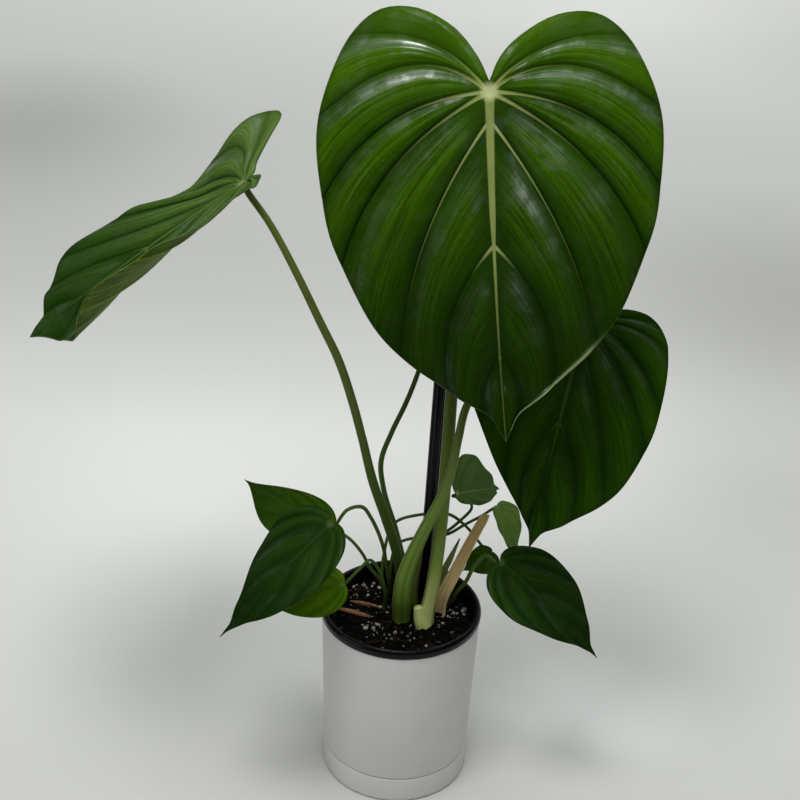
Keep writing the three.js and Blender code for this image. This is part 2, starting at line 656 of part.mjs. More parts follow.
function stakeRod(grow, sides) {
  const foot = new THREE.Vector3(...STAKE_FOOT);
  const top = new THREE.Vector3(...STAKE_TOP);
  const points = [];
  for (let i = 0; i < sides; i += 1) {
    const angle = (2 * Math.PI * i) / sides;
    const flute = grow > 0 ? 0 : STAKE_FLUTE_DEPTH * (0.5 - 0.5 * Math.cos(STAKE_FLUTES * angle));
    const radius = STAKE_RADIUS + grow - flute;
    points.push(new THREE.Vector2(radius * Math.cos(angle), radius * Math.sin(angle)));
  }
  const depth = foot.distanceTo(top) + grow;
  const rod = new THREE.ExtrudeGeometry(new THREE.Shape(points), { depth, bevelEnabled: false });
  rod.translate(0, 0, -grow);
  rod.applyQuaternion(new THREE.Quaternion().setFromUnitVectors(
    new THREE.Vector3(0, 0, 1),
    top.clone().sub(foot).normalize(),
  ));
  return weld(rod.translate(...foot));
}

function soil() {
  const random = randomFrom(GRAIN_SEED);
  let mix = toSolid(soilBody());
  for (let i = 0; i < GRAIN_COUNT; i += 1) {
    const size = GRAIN_LEAST + GRAIN_SPREAD * random();
    const out = (soilRadius(SOIL_TOP) - 4) * Math.sqrt(random());
    const angle = 2 * Math.PI * random();
    const x = out * Math.cos(angle);
    const y = out * Math.sin(angle);
    const grain = new THREE.OctahedronGeometry(size, 0).rotateX(3 * random()).rotateY(3 * random());
    mix = mix.add(toSolid(grain.translate(x, y, soilHeight(x, y) + GRAIN_PROUD * size)));
  }
  for (const { at, turn, size } of BARK) {
    const strip = new THREE.BoxGeometry(...size).rotateY(radians(BARK_TILT)).rotateZ(radians(turn));
    mix = mix.add(toSolid(strip.translate(at[0], at[1], soilHeight(at[0], at[1]) + 0.1)));
  }
  for (const stem of [...Object.values(petioleStems), ...Object.values(cataphyllStems), FOOT_STUB]) {
    mix = mix.subtract(toSolid(drawnStem(stem, HOLE_CLEARANCE)));
  }
  mix = mix.subtract(toSolid(stakeRod(HOLE_CLEARANCE, STAKE_HOLE_SIDES)));
  return fromSolid(mix);
}

// Assembly

const plant = new THREE.Group();

function addPart(name, geometry, color, roughness) {
  const shaded = geometry.toNonIndexed();
  shaded.computeVertexNormals();
  const part = new THREE.Mesh(shaded, new THREE.MeshStandardMaterial({ color, roughness, metalness: 0 }));
  part.name = name;
  plant.add(part);
}

addPart('base_tray', baseTray(), COLORS.white_pot, 0.45);
addPart('cachepot', cachepot(), COLORS.white_pot, 0.45);
addPart('nursery_pot', nurseryPot(), COLORS.black_pot, 0.5);
addPart('soil', soil(), COLORS.soil, 0.95);
addPart('support_stake', stakeRod(0, STAKE_FLUTES * 4), COLORS.stake, 0.5);
for (const [name, blade] of Object.entries(BLADES)) {
  const young = name.startsWith('small');
  const mature = { front: COLORS.blade, right: COLORS.blade_dark, left: COLORS.blade };
  const color = mature[name] ?? COLORS.blade_light;
  addPart(`blade_${name}`, bladeGeometry(blade), color, 0.5);
  addPart(`petiole_${name}`, petioleGeometry(name), young ? COLORS.petiole_thin : COLORS.petiole, 0.55);
}
addPart('cataphyll_tan', drawnStem(cataphyllStems.tan), COLORS.tan, 0.7);
addPart('cataphyll_green', drawnStem(cataphyllStems.green), COLORS.scale_green, 0.6);

export default plant;
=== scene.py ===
# %% [markdown]
# # A potted philodendron
# This lesson dresses the plain solids of a potted plant: ribbed heart-shaped leaves on long stalks,
# rooted in a black growing pot that hangs in a white outer pot. The solids arrive as a fixed
# frame. Every piece below is made in the frame's own axes, so each one goes exactly where its
# solid stands, and nothing has to be fitted by eye.

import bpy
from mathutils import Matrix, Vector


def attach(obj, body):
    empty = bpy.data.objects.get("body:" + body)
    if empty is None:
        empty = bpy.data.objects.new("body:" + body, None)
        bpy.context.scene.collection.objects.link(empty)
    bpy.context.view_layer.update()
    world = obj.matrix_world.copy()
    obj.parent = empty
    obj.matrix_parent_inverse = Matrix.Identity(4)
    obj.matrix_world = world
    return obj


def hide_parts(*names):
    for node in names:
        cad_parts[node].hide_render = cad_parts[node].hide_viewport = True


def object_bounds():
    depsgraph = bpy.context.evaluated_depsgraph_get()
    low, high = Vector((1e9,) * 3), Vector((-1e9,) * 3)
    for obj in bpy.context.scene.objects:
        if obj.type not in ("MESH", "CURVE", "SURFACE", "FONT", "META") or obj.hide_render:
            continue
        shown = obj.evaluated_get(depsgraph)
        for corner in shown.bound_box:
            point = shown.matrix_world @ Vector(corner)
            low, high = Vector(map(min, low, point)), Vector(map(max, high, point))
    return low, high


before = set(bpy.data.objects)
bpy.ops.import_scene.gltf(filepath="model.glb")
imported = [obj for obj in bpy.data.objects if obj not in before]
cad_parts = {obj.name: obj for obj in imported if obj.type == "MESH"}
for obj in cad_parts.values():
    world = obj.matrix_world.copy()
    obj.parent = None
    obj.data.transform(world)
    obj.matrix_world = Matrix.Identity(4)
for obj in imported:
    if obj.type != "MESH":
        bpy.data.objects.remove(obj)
cad_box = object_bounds()
low_corner, high_corner = ([round(value, 3) for value in corner] for corner in cad_box)
print(len(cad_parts), "solids, from", low_corner, "to", high_corner)

# %% Tools
import math

import bmesh
import bpy
import numpy as np
from mathutils import Matrix, Vector, noise

MM = 0.001
scene = bpy.context.scene

# %% [markdown]
# ## Camera
# The plant was looked at from a little above, through a long lens that was not held quite level.
# A camera could be aimed with a constraint, but two turns say the same thing plainly: first the
# pitch below the horizon, then the roll about the line of sight.

# %% Camera
CAMERA_PLACE = (-0.008, -0.986, 0.845)
CAMERA_PITCH = math.radians(28.16)
CAMERA_ROLL = math.radians(-2.62)
CAMERA_LENS = 72
CAMERA_SENSOR = 36
CAMERA_SEES_TO = 50

camera = bpy.data.objects.new("camera", bpy.data.cameras.new("camera"))
scene.collection.objects.link(camera)
tilt = Matrix.Rotation(math.pi / 2 - CAMERA_PITCH, 4, "X") @ Matrix.Rotation(-CAMERA_ROLL, 4, "Z")
camera.matrix_world = Matrix.Translation(CAMERA_PLACE) @ tilt
camera.data.lens = CAMERA_LENS
camera.data.sensor_width = CAMERA_SENSOR
camera.data.clip_end = CAMERA_SEES_TO
scene.camera = camera
print("camera looks along", [round(v, 3) for v in camera.matrix_world.to_3x3() @ Vector((0, 0, -1))])

# %% [markdown]
# ## Shader maths
# A finish is a small sum of masks and colours. Written with nodes alone it takes a page of links,
# so one class wraps a socket: arithmetic on it adds Math nodes, and `node` adds any other node.
# Colours are given as a picture editor shows them and turned to light once, in Python.

# %% Shader maths
class Wire:
    """One socket of a material. Arithmetic adds Math nodes, and node() adds any other node."""

    def __init__(self, tree, socket=None):
        self.tree = tree
        self.socket = socket

    def node(self, kind, settings=None, inputs=None, out=0):
        made = self.tree.nodes.new(kind)
        for name, value in (settings or {}).items():
            if name == "stops":
                self.set_stops(made.color_ramp, value)
            else:
                setattr(made, name, value)
        for name, value in (inputs or {}).items():
            socket = made.inputs[name]
            if isinstance(value, Wire):
                self.tree.links.new(value.socket, socket)
            else:
                socket.default_value = value
        return Wire(self.tree, made.outputs[out]) if made.outputs else None

    def set_stops(self, ramp, stops):
        while len(ramp.elements) < len(stops):
            ramp.elements.new(1)
        for element, (place, shade) in zip(ramp.elements, stops):
            element.position = place
            element.color = shade

    def math(self, operation, *others):
        values = dict(enumerate((self, *others)))
        return self.node("ShaderNodeMath", {"operation": operation}, values)

    def __add__(self, other):
        return self.math("ADD", other)

    __radd__ = __add__

    def __mul__(self, other):
        return self.math("MULTIPLY", other)

    __rmul__ = __mul__

    def __sub__(self, other):
        return self.math("SUBTRACT", other)

    def __rsub__(self, other):
        return self * -1 + other

    def step(self, low, high):
        """0 below low and 1 above high, with a soft step between; the two may be swapped."""
        ends = {"Value": self, "From Min": low, "From Max": high}
        return self.node("ShaderNodeMapRange", {"interpolation_type": "SMOOTHSTEP"}, ends)


# %% Colours, places and noises
def paint(red, green, blue):
    """A colour as a picture editor shows it, 0 to 255, turned to linear light."""
    channels = [channel / 255 for channel in (red, green, blue)]
    light = [c / 12.92 if c < 0.04045 else ((c + 0.055) / 1.055) ** 2.4 for c in channels]
    return (*light, 1)


MIX = {"data_type": "RGBA", "clamp_factor": True}


def blend(share, first, second, way="MIX"):
    """The first colour where share is 0 and the second where it is 1."""
    start = next(value for value in (share, first, second) if isinstance(value, Wire))
    return start.node("ShaderNodeMix", {**MIX, "blend_type": way}, {0: share, 6: first, 7: second}, 2)


def object_place(start):
    return start.node("ShaderNodeTexCoord", out="Object")


def stretched(start, place, scale):
    """The place with each axis drawn out, so that a noise read there grows streaks."""
    return start.node("ShaderNodeMapping", {}, {"Vector": place, "Scale": scale})


def cloud(place, scale, detail=3, roughness=0.5):
    """Smooth noise from 0 to 1 whose lumps are 1/scale metres across."""
    sizes = {"Vector": place, "Scale": scale, "Detail": detail, "Roughness": roughness}
    return place.node("ShaderNodeTexNoise", {}, sizes)


def cells(place, scale, feature="F1", out="Distance"):
    return place.node("ShaderNodeTexVoronoi", {"feature": feature}, {"Vector": place, "Scale": scale}, out)


# %% A material's two ends
def new_material(name):
    material = bpy.data.materials.new(name)
    material.use_nodes = True
    material.node_tree.nodes.clear()
    return material, Wire(material.node_tree)


def bump(height, depth, under=None):
    """A bump whose full height is depth, in millimetres."""
    inputs = {"Height": height, "Distance": depth * MM, "Strength": 1.0}
    if under:
        inputs["Normal"] = under
    return height.node("ShaderNodeBump", {}, inputs)


def lay_on(start, **sockets):
    """The Principled surface; each word is a socket's name with its spaces as underlines."""
    inputs = {name.replace("_", " "): value for name, value in sockets.items()}
    shader = start.node("ShaderNodeBsdfPrincipled", {}, inputs)
    start.node("ShaderNodeOutputMaterial", {}, {"Surface": shader})


# %% [markdown]
# ## Studio light
# The room is lit from above, and behind the camera it is dim. That is why a leaf that leans back
# shines grey while one that stands upright keeps its full green: it mirrors the dim wall. So the
# sky here is bright overhead and falls away towards the horizon. Soft boxes above and in front add
# the sheen, and those at the left and behind open the shadows. The picture keeps the Standard
# view, because a filmic one would wash out the greens.

# %% Studio light
SKY_LOW = (0.05, 0.05, 0.048, 1)
SKY_HIGH = (0.8, 0.83, 0.81, 1)
CEILING_FROM = 0.38
CEILING_TO = 0.82

# each soft box: its place, the spot it looks at, its size in metres and its watts
SOFT_BOXES = {
    "overhead_box": ((-0.2, -0.45, 1.6), (0.02, 0, 0.5), (0.5, 0.32), 11),
    "front_box": ((0.3, -1.15, 1.42), (0.03, 0, 0.45), (0.16, 0.3), 1.6),
    "left_box": ((-1.1, -0.5, 0.45), (0, 0, 0.1), (0.7, 0.5), 1.3),
    "back_box": ((0.5, 1.1, 1.5), (0, 0, 0.3), (0.9, 0.7), 3),
    "far_box": ((0.75, 2.8, 1.2), (0.75, 2.7, 0), (1.0, 0.5), 4),
}

scene.view_settings.view_transform = "Standard"


def soft_box(name, place, aim, size, watts):
    light = bpy.data.lights.new(name, "AREA")
    light.shape = "RECTANGLE"
    light.size, light.size_y = size
    light.energy = watts
    holder = bpy.data.objects.new(name, light)
    scene.collection.objects.link(holder)
    holder.location = place
    holder.rotation_euler = (Vector(aim) - Vector(place)).to_track_quat("-Z", "Y").to_euler()


def ceiling_sky():
    """A world that is bright overhead and dim at the horizon."""
    world = bpy.data.worlds.new("sky")
    world.use_nodes = True
    world.node_tree.nodes.clear()
    start = Wire(world.node_tree)
    way = start.node("ShaderNodeTexCoord", out="Generated")
    height = way.node("ShaderNodeSeparateXYZ", {}, {"Vector": way}, "Z")
    shade = blend(height.step(CEILING_FROM, CEILING_TO), SKY_LOW, SKY_HIGH)
    glow = start.node("ShaderNodeBackground", {}, {"Color": shade})
    start.node("ShaderNodeOutputWorld", {}, {"Surface": glow})
    return world


scene.world = ceiling_sky()
for name, box in SOFT_BOXES.items():
    soft_box(name, *box)
print("sky and", len(SOFT_BOXES), "soft boxes of", sum(box[3] for box in SOFT_BOXES.values()), "watts")

# %% [markdown]
# ## The floor
# A seamless sheet of pale card. Its grey is painted lighter and darker towards its far end: a slow
# ramp along the depth of the studio paints the light and shade that a curved backdrop would catch,
# and the sides and back of the plant stay open to be looked at. A few soft pools of painted light
# and painted shade keep the card from looking flat.

# %% Floor
FLOOR_HALF = 5.0
# each stop: how far along the floor it is, from 0 at the near end to 1 at the far end, and its
# grey, which paints the light and shade of a curved backdrop
FLOOR_GREYS = (
    (0.495, 203), (0.515, 216), (0.55, 232), (0.585, 214), (0.6, 212), (0.65, 223), (0.69, 239), (0.73, 253),
)
# each painted pool of light or shade: its centre and its reach in metres, its strength and its grey
PAINTED_POOLS = (
    ((0.5, 0.85), (0.42, 0.6), 0.34, 121), ((-0.62, 1.45), (0.36, 0.5), 0.3, 121),
    ((0.9, 2.3), (0.55, 0.8), 0.22, 121), ((0.38, 0.4), (0.26, 0.27), 0.26, 121),
    ((0.02, 0.0), (0.2, 0.2), 0.22, 140), ((0.2, -0.11), (0.16, 0.08), 0.2, 121),
    ((-0.2, 0.42), (0.3, 0.3), 0.35, 255), ((0.15, 0.07), (0.14, 0.1), 0.7, 255),
)


def pool(place, centre, reach):
    """1 at a spot of the floor, fading to 0 at its reach: a painted patch of light or of shade."""
    scale = (1 / reach[0], 1 / reach[1], 1)
    shift = (-centre[0] / reach[0], -centre[1] / reach[1], 0)
    spot = place.node("ShaderNodeMapping", {}, {"Vector": place, "Scale": scale, "Location": shift})
    away = spot.node("ShaderNodeVectorMath", {"operation": "LENGTH"}, {0: spot}, "Value")
    return away.step(1, 0)


def floor_finish():
    material, start = new_material("pale_card")
    place = object_place(start)
    depth = place.node("ShaderNodeSeparateXYZ", {}, {"Vector": place}, "Y")
    far = (depth * (0.5 / FLOOR_HALF)) + 0.5
    # painted light and shade: the card's grey ramps along the depth of the studio
    stops = [(at, paint(grey, grey, grey - 2)) for at, grey in FLOOR_GREYS]
    shade = far.node("ShaderNodeValToRGB", {"stops": stops}, {"Fac": far}, "Color")
    # painted light and shade: pools of white and grey on the card, one of them the pot's shadow
    for centre, reach, strength, grey in PAINTED_POOLS:
        shade = blend(pool(place, centre, reach) * strength, shade, paint(grey, grey, grey))
    grain = cloud(place, 900, 4)
    lay_on(start, Base_Color=shade, Roughness=0.62 + 0.1 * grain, Normal=bump(grain, 0.03))
    return material


def link_object(name, mesh, materials):
    piece = bpy.data.objects.new(name, mesh)
    for material in materials:
        mesh.materials.append(material)
    scene.collection.objects.link(piece)
    return piece


bm = bmesh.new()
bmesh.ops.create_grid(bm, x_segments=8, y_segments=8, size=FLOOR_HALF)
floor_mesh = bpy.data.meshes.new("floor")
bm.to_mesh(floor_mesh)
bm.free()
floor = link_object("floor", floor_mesh, [floor_finish()])
print("floor reaches", FLOOR_HALF, "m each way")

# %% [markdown]
# ## How a piece is finished
# Every piece is modelled in millimetres, as the solids were, and only its last step turns it to
# metres. Then it rides on the one body of the frame, and the solids that it stands for are hidden.

# %% Finish a piece
made_triangles = {}


def finished(name, mesh, materials, nodes, slot):
    """Links a mesh modelled in millimetres, shades it smooth and ties it to the frame."""
    mesh.transform(Matrix.Scale(MM, 4))
    mesh.shade_smooth()
    piece = link_object(name, mesh, materials)
    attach(piece, "root")
    if nodes:
        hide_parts(*nodes)
    made_triangles[name] = sum(len(face.vertices) - 2 for face in mesh.polygons)
    return piece


def as_mesh(name, bm):
    mesh = bpy.data.meshes.new(name)
    bm.to_mesh(mesh)
    bm.free()
    return mesh


def read_points(mesh):
    flat = np.empty(len(mesh.vertices) * 3, np.float32)
    mesh.vertices.foreach_get("co", flat)
    return flat.reshape(-1, 3).astype(float)


def move_points(mesh, points):
    mesh.vertices.foreach_set("co", np.ascontiguousarray(points, np.float32).ravel())
    mesh.update()


# %% [markdown]
# ## The pots
# The outer pot and its tray are moulded shells of revolution, so half a profile is spun about the
# upright axis. The growing pot is a thin vacuum-formed shell, spun the same way, whose rim lies on
# the outer pot's. A profile is a short chain of points, and each of its inner corners is turned
# into a small arc before the spin, which is quicker than a bevel on the finished shell.

# %% Sizes of the holder
TRAY_TOP = 21.4
TRAY_RADIUS = 55.8
TRAY_FOOT_RADIUS = 53.4
TRAY_FLOOR = 3
BODY_TOP = 137
BODY_TOP_RADIUS = 59.3
BODY_WALL = 2.4
SPIGOT_RADIUS = 53.1
BODY_FOOT = 6
BODY_FLOOR = 9
SEAM = 0.9
RIM_GAP = 0.3
NURSERY_FLOOR_BOTTOM = 12.3
NURSERY_FLOOR_TOP = 14.2
NURSERY_FOOT_RADIUS = 44.2
NURSERY_MOUTH_RADIUS = 54.8
NURSERY_WALL = 1.4
RIM_RADIUS = 60.2
RIM_TOP = 144.2
DRAIN_COUNT = 6
DRAIN_RADIUS = 4
DRAIN_CIRCLE = 28
SPIN_STEPS = 160
AXIS_WELD = 1e-4


# %% Spin a profile
def round_corners(profile, radius, steps=3):
    """The chain of [radius, height] points with each inner corner turned into a small arc."""
    points = [Vector(point) for point in profile]
    chain = [points[0]]
    for before, corner, after in zip(points, points[1:], points[2:]):
        reach = min(radius, (before - corner).length / 3, (after - corner).length / 3)
        first = corner + (before - corner).normalized() * reach
        last = corner + (after - corner).normalized() * reach
        for i in range(steps + 1):
            t = i / steps
            chain.append(first.lerp(corner, t).lerp(corner.lerp(last, t), t))
    return [*chain, points[-1]]


def spun(profile, radius=0.5):
    bm = bmesh.new()
    chain = [bm.verts.new((point.x, 0, point.y)) for point in round_corners(profile, radius)]
    edges = [bm.edges.new(pair) for pair in zip(chain, chain[1:])]
    bmesh.ops.spin(
        bm, geom=chain + edges, axis=(0, 0, 1), cent=(0, 0, 0),
        angle=2 * math.pi, steps=SPIN_STEPS, use_merge=True,
    )
    bmesh.ops.remove_doubles(bm, verts=bm.verts, dist=AXIS_WELD)
    bmesh.ops.recalc_face_normals(bm, faces=bm.faces)
    return bm


# %% White pot finish
def white_pot_finish():
    material, start = new_material("white_satin_pot")
    place = object_place(start)
    cast = cloud(place, 45, 2)
    orange_peel = cloud(place, 1500, 2)
    dust = cloud(place, 260, 5, 0.7).step(0.6, 0.85)
    shade = blend(cast, paint(202, 202, 200), paint(210, 210, 208))
    shade = blend(dust * 0.25, shade, paint(192, 191, 186))
    rough = 0.36 + 0.06 * cast + 0.14 * dust
    lay_on(start, Base_Color=shade, Roughness=rough, Normal=bump(orange_peel, 0.012))
    return material


white_pot = white_pot_finish()

# %% Base tray and outer pot
tray = spun([
    (0, 0), (TRAY_FOOT_RADIUS, 0), (TRAY_FOOT_RADIUS + 1.7, 0.7), (TRAY_RADIUS - 0.1, 2.4),
    (TRAY_RADIUS, TRAY_TOP), (TRAY_FOOT_RADIUS, TRAY_TOP), (TRAY_FOOT_RADIUS, TRAY_FLOOR), (0, TRAY_FLOOR),
])
finished("base_tray_shell", as_mesh("base_tray_shell", tray), [white_pot], ["base_tray"], "white_pot")
body_inner = BODY_TOP_RADIUS - BODY_WALL
body = spun([
    (0, BODY_FOOT), (SPIGOT_RADIUS, BODY_FOOT), (SPIGOT_RADIUS, TRAY_TOP + SEAM),
    (TRAY_RADIUS, TRAY_TOP + SEAM), (BODY_TOP_RADIUS, BODY_TOP), (body_inner, BODY_TOP),
    (SPIGOT_RADIUS, TRAY_TOP + 8), (SPIGOT_RADIUS - BODY_WALL, TRAY_TOP + 3),
    (SPIGOT_RADIUS - BODY_WALL, BODY_FLOOR), (0, BODY_FLOOR),
])
finished("outer_pot_shell", as_mesh("outer_pot_shell", body), [white_pot], ["cachepot"], "white_pot")
print("white pot", made_triangles)


# %% Growing pot
def black_plastic_finish():
    material, start = new_material("black_growing_pot")
    place = object_place(start)
    smear = cloud(stretched(start, place, (1, 1, 0.25)), 130, 4, 0.6)
    grit = cells(place, 420).step(0.32, 0.1)
    shade = blend(smear, paint(2, 3, 3), paint(7, 8, 8))
    shade = blend(grit * smear * 0.15, shade, paint(70, 66, 58))
    rough = 0.16 + 0.16 * smear + 0.2 * grit
    lay_on(start, Base_Color=shade, Roughness=rough, Normal=bump(smear, 0.05), Specular_IOR_Level=0.16)
    return material


black_pot = black_plastic_finish()
rim_foot = BODY_TOP + RIM_GAP
growing = spun([
    (0, NURSERY_FLOOR_BOTTOM), (NURSERY_FOOT_RADIUS, NURSERY_FLOOR_BOTTOM),
    (NURSERY_FOOT_RADIUS + NURSERY_WALL, NURSERY_FLOOR_BOTTOM + 1.4),
    (NURSERY_MOUTH_RADIUS + NURSERY_WALL, rim_foot), (RIM_RADIUS - 0.3, rim_foot),
    (RIM_RADIUS, RIM_TOP - 2.4), (RIM_RADIUS - 1.4, RIM_TOP - 0.2), (RIM_RADIUS - 3, RIM_TOP),
    (NURSERY_MOUTH_RADIUS + 1.2, RIM_TOP - 0.8), (NURSERY_MOUTH_RADIUS + 0.3, RIM_TOP - 3),
    (NURSERY_MOUTH_RADIUS, rim_foot - 1), (NURSERY_FOOT_RADIUS, NURSERY_FLOOR_TOP), (0, NURSERY_FLOOR_TOP),
], 0.8)
growing_piece = finished(
    "growing_pot_shell", as_mesh("growing_pot_shell", growing), [black_pot], ["nursery_pot"], "black_pot",
)


# %% Drain holes
def drain_cutter():
    bm = bmesh.new()
    for i in range(DRAIN_COUNT):
        angle = 2 * math.pi * i / DRAIN_COUNT
        place = (DRAIN_CIRCLE * math.cos(angle), DRAIN_CIRCLE * math.sin(angle), NURSERY_FLOOR_BOTTOM)
        bmesh.ops.create_cone(
            bm, cap_ends=True, segments=32, radius1=DRAIN_RADIUS, radius2=DRAIN_RADIUS, depth=10,
            matrix=Matrix.Translation(place),
        )
    mesh = as_mesh("drain_cutter", bm)
    mesh.transform(Matrix.Scale(MM, 4))
    return link_object("drain_cutter", mesh, [])


def cut_away(piece, cutter):
    """Cuts the cutter out of the piece for good, and removes the cutter."""
    cut = piece.modifiers.new("cut", "BOOLEAN")
    cut.operation = "DIFFERENCE"
    cut.solver = "EXACT"
    cut.object = cutter
    graph = bpy.context.evaluated_depsgraph_get()
    kept = bpy.data.meshes.new_from_object(piece.evaluated_get(graph))
    piece.modifiers.clear()
    piece.data = kept
    bpy.data.objects.remove(cutter)


cut_away(growing_piece, drain_cutter())
print("growing pot has", DRAIN_COUNT, "drains of", 2 * DRAIN_RADIUS, "mm")

# %% [markdown]
# ## The potting mix
# Potting mix is a dark crumb of peat and bark with white perlite grains in it. A photograph of it
# could be laid over a disc, but from a low angle only real lumps read as soil. So the bed is a
# round grid raised by noise, and grains, chips and strips are separate small meshes sunk into it.
# A seeded draw places the grains and the chips.

# %% A grid to be moved
GRID_WELD = 2e-3


def flat_grid(name, columns, rows):
    """A square grid mesh, and each vertex's place on it from 0 to 1 across and 0 to 1 up."""
    bm = bmesh.new()
    bmesh.ops.create_grid(bm, x_segments=columns, y_segments=rows, size=0.5)
    mesh = as_mesh(name, bm)
    places = read_points(mesh)
    return mesh, places[:, 0] + 0.5, places[:, 1] + 0.5


def corner_vertices(mesh):
    """The number of the vertex at each face corner."""
    index = np.empty(len(mesh.loops), np.int32)
    mesh.loops.foreach_get("vertex_index", index)
    return index


def put_corners(mesh, **values):
    """Stores a number for each face corner, so that a welded seam keeps both of its sides' values."""
    index = corner_vertices(mesh)
    for name, value in values.items():
        layer = mesh.attributes.new(name, "FLOAT", "CORNER")
        layer.data.foreach_set("value", np.asarray(value, np.float32)[index])


def put_uv(mesh, name, across, along):
    pairs = np.stack([across, along], 1)[corner_vertices(mesh)]
    mesh.uv_layers.new(name=name).data.foreach_set("uv", np.ascontiguousarray(pairs, np.float32).ravel())


def welded(mesh, caps=False):
    """Joins the vertices that lie on one another, and closes the open ends if asked."""
    bm = bmesh.new()
    bm.from_mesh(mesh)
    bmesh.ops.remove_doubles(bm, verts=bm.verts, dist=GRID_WELD)
    if caps:
        bmesh.ops.holes_fill(bm, edges=[edge for edge in bm.edges if edge.is_boundary], sides=0)
    bmesh.ops.recalc_face_normals(bm, faces=bm.faces)
    bm.to_mesh(mesh)
    bm.free()
    return mesh


# %% Soil bed
SOIL_TOP = 132
SOIL_RELIEF = 1.1
SOIL_RINGS = 90
SOIL_SPOKES = 250
SOIL_RADIUS = 54.4
SOIL_EDGE_DROP = 3
# each kind of crumb: its size and its height in mm
CRUMB_HEIGHTS = ((11, 1.5), (5, 1.1), (2.4, 0.8), (1.2, 0.5))


def soil_height(x, y):
    rolls = np.sin(0.16 * x + 1.3) * np.cos(0.14 * y - 0.6)
    lumps = np.sin(0.33 * x - 0.29 * y) * np.cos(0.21 * x + 0.37 * y)
    return SOIL_TOP + SOIL_RELIEF * (0.7 * rolls + 0.6 * lumps)


def crumb(x, y):
    """Fine lumps on the bed, each size of lump with its own height."""
    return sum(height * noise.noise((x / size, y / size, size)) for size, height in CRUMB_HEIGHTS)


soil_mesh, around, outward = flat_grid("soil_bed", SOIL_SPOKES, SOIL_RINGS)
turn = 2 * math.pi * around
soil_x = SOIL_RADIUS * outward * np.cos(turn)
soil_y = SOIL_RADIUS * outward * np.sin(turn)
soil_z = soil_height(soil_x, soil_y) + np.array([crumb(x, y) for x, y in zip(soil_x, soil_y)])
soil_z = np.where(outward > 0.999, soil_z - SOIL_EDGE_DROP, soil_z)
move_points(soil_mesh, np.stack([soil_x, soil_y, soil_z], 1))
print("soil stands", round(float(soil_z.max()), 1), "mm up at most")


# %% Soil finish
def soil_finish():
    material, start = new_material("moist_potting_mix")
    place = object_place(start)
    lumps = cloud(place, 420, 6, 0.65)
    fine = cloud(place, 1900, 4, 0.7)
    bits = cells(place, 520, "F1", "Color")
    chance = bits.node("ShaderNodeSeparateColor", {}, {"Color": bits}, "Red")
    shade = blend(lumps.step(0.38, 0.75), paint(1, 1, 1), paint(11, 9, 7))
    shade = blend(chance.step(0.8, 0.86) * 0.7, shade, paint(32, 22, 14))
    shade = blend(chance.step(0.97, 0.98), shade, paint(84, 78, 68))
    wet = lumps.step(0.62, 0.42)
    rough = 0.92 - 0.35 * wet
    grain = bump(fine, 0.5, bump(lumps, 1.2))
    lay_on(start, Base_Color=shade, Roughness=rough, Normal=grain, Specular_IOR_Level=0.04)
    return material


finished("soil_bed", welded(soil_mesh), [soil_finish()], ["soil"], "soil")


# %% [markdown]
# Perlite grains are popped glass: pale, round-cornered and never alike. One small ball, pushed
# about by a noise that is read at another place each time, makes a grain of 80 faces, and more than
# a hundred of them stay cheap. They lie in drifts where the last watering left them. Bark chips
# start as a box that is cut into short lengths and bevelled. The noise that roughens them would
# take its seed from the clock, so it is given one, as the draws are.

# %% Grains
GRAIN_SEED = 20481
PERLITE_COUNT = 46
# each drift: its centre and its spread in mm, and how many grains lie in it
PERLITE_DRIFTS = (
    ((-31, 35), 9, 18), ((-14, -20), 10, 24), ((41, 8), 8, 12), ((20, -40), 9, 8), ((10, 36), 12, 10),
)
PERLITE_LEAST = 0.45
PERLITE_MOST = 2.1
PERLITE_SMALLNESS = 2.2
PERLITE_PROUD = 0.25
WALL_ROOM = 2.5
CHIP_COUNT = 110
rng = np.random.default_rng(GRAIN_SEED)
noise.seed_set(GRAIN_SEED)


def on_soil(x, y):
    return x, y, float(soil_height(x, y)) + crumb(x, y)


def drop_place():
    """A place anywhere on the bed, kept off the wall of the pot."""
    out = (SOIL_RADIUS - WALL_ROOM) * math.sqrt(rng.random())
    angle = 2 * math.pi * rng.random()
    return on_soil(out * math.cos(angle), out * math.sin(angle))


def drift_place(centre, spread):
    """A place in a drift of grains, kept off the wall of the pot."""
    x, y = np.array(centre) + spread * rng.standard_normal(2) * 0.6
    shrink = min(1, (SOIL_RADIUS - WALL_ROOM) / math.hypot(x, y))
    return on_soil(x * shrink, y * shrink)


def add_grain(bm, place, size):
    turn = Matrix.Rotation(math.tau * rng.random(), 4, "X") @ Matrix.Rotation(math.tau * rng.random(), 4, "Z")
    squash = Matrix.Diagonal((1, 0.72 + 0.25 * rng.random(), 0.62 + 0.3 * rng.random(), 1))
    made = bmesh.ops.create_icosphere(bm, subdivisions=2, radius=size)["verts"]
    shift = Vector(rng.random(3) * 50)
    for vert in made:
        vert.co *= 1 + 0.34 * noise.noise(vert.co * (0.9 / size) + shift)
    bmesh.ops.transform(bm, matrix=Matrix.Translation(place) @ turn @ squash, verts=made)


perlite = bmesh.new()
grain_places = [drop_place() for _ in range(PERLITE_COUNT)]
for centre, spread, count in PERLITE_DRIFTS:
    grain_places += [drift_place(centre, spread) for _ in range(count)]
for x, y, z in grain_places:
    size = PERLITE_LEAST + (PERLITE_MOST - PERLITE_LEAST) * rng.random() ** PERLITE_SMALLNESS
    add_grain(perlite, (x, y, z + PERLITE_PROUD * size), size)
print(len(grain_places), "grains of perlite")


# %% Perlite finish
def perlite_finish():
    material, start = new_material("perlite_grain")
    place = object_place(start)
    stain = cloud(place, 150, 4, 0.6).step(0.35, 0.7)
    pits = cells(place, 1700)
    shade = blend(stain, paint(160, 160, 154), paint(74, 70, 62))
    lay_on(start, Base_Color=shade, Roughness=0.85 - 0.1 * stain, Normal=bump(pits, 0.25))
    return material


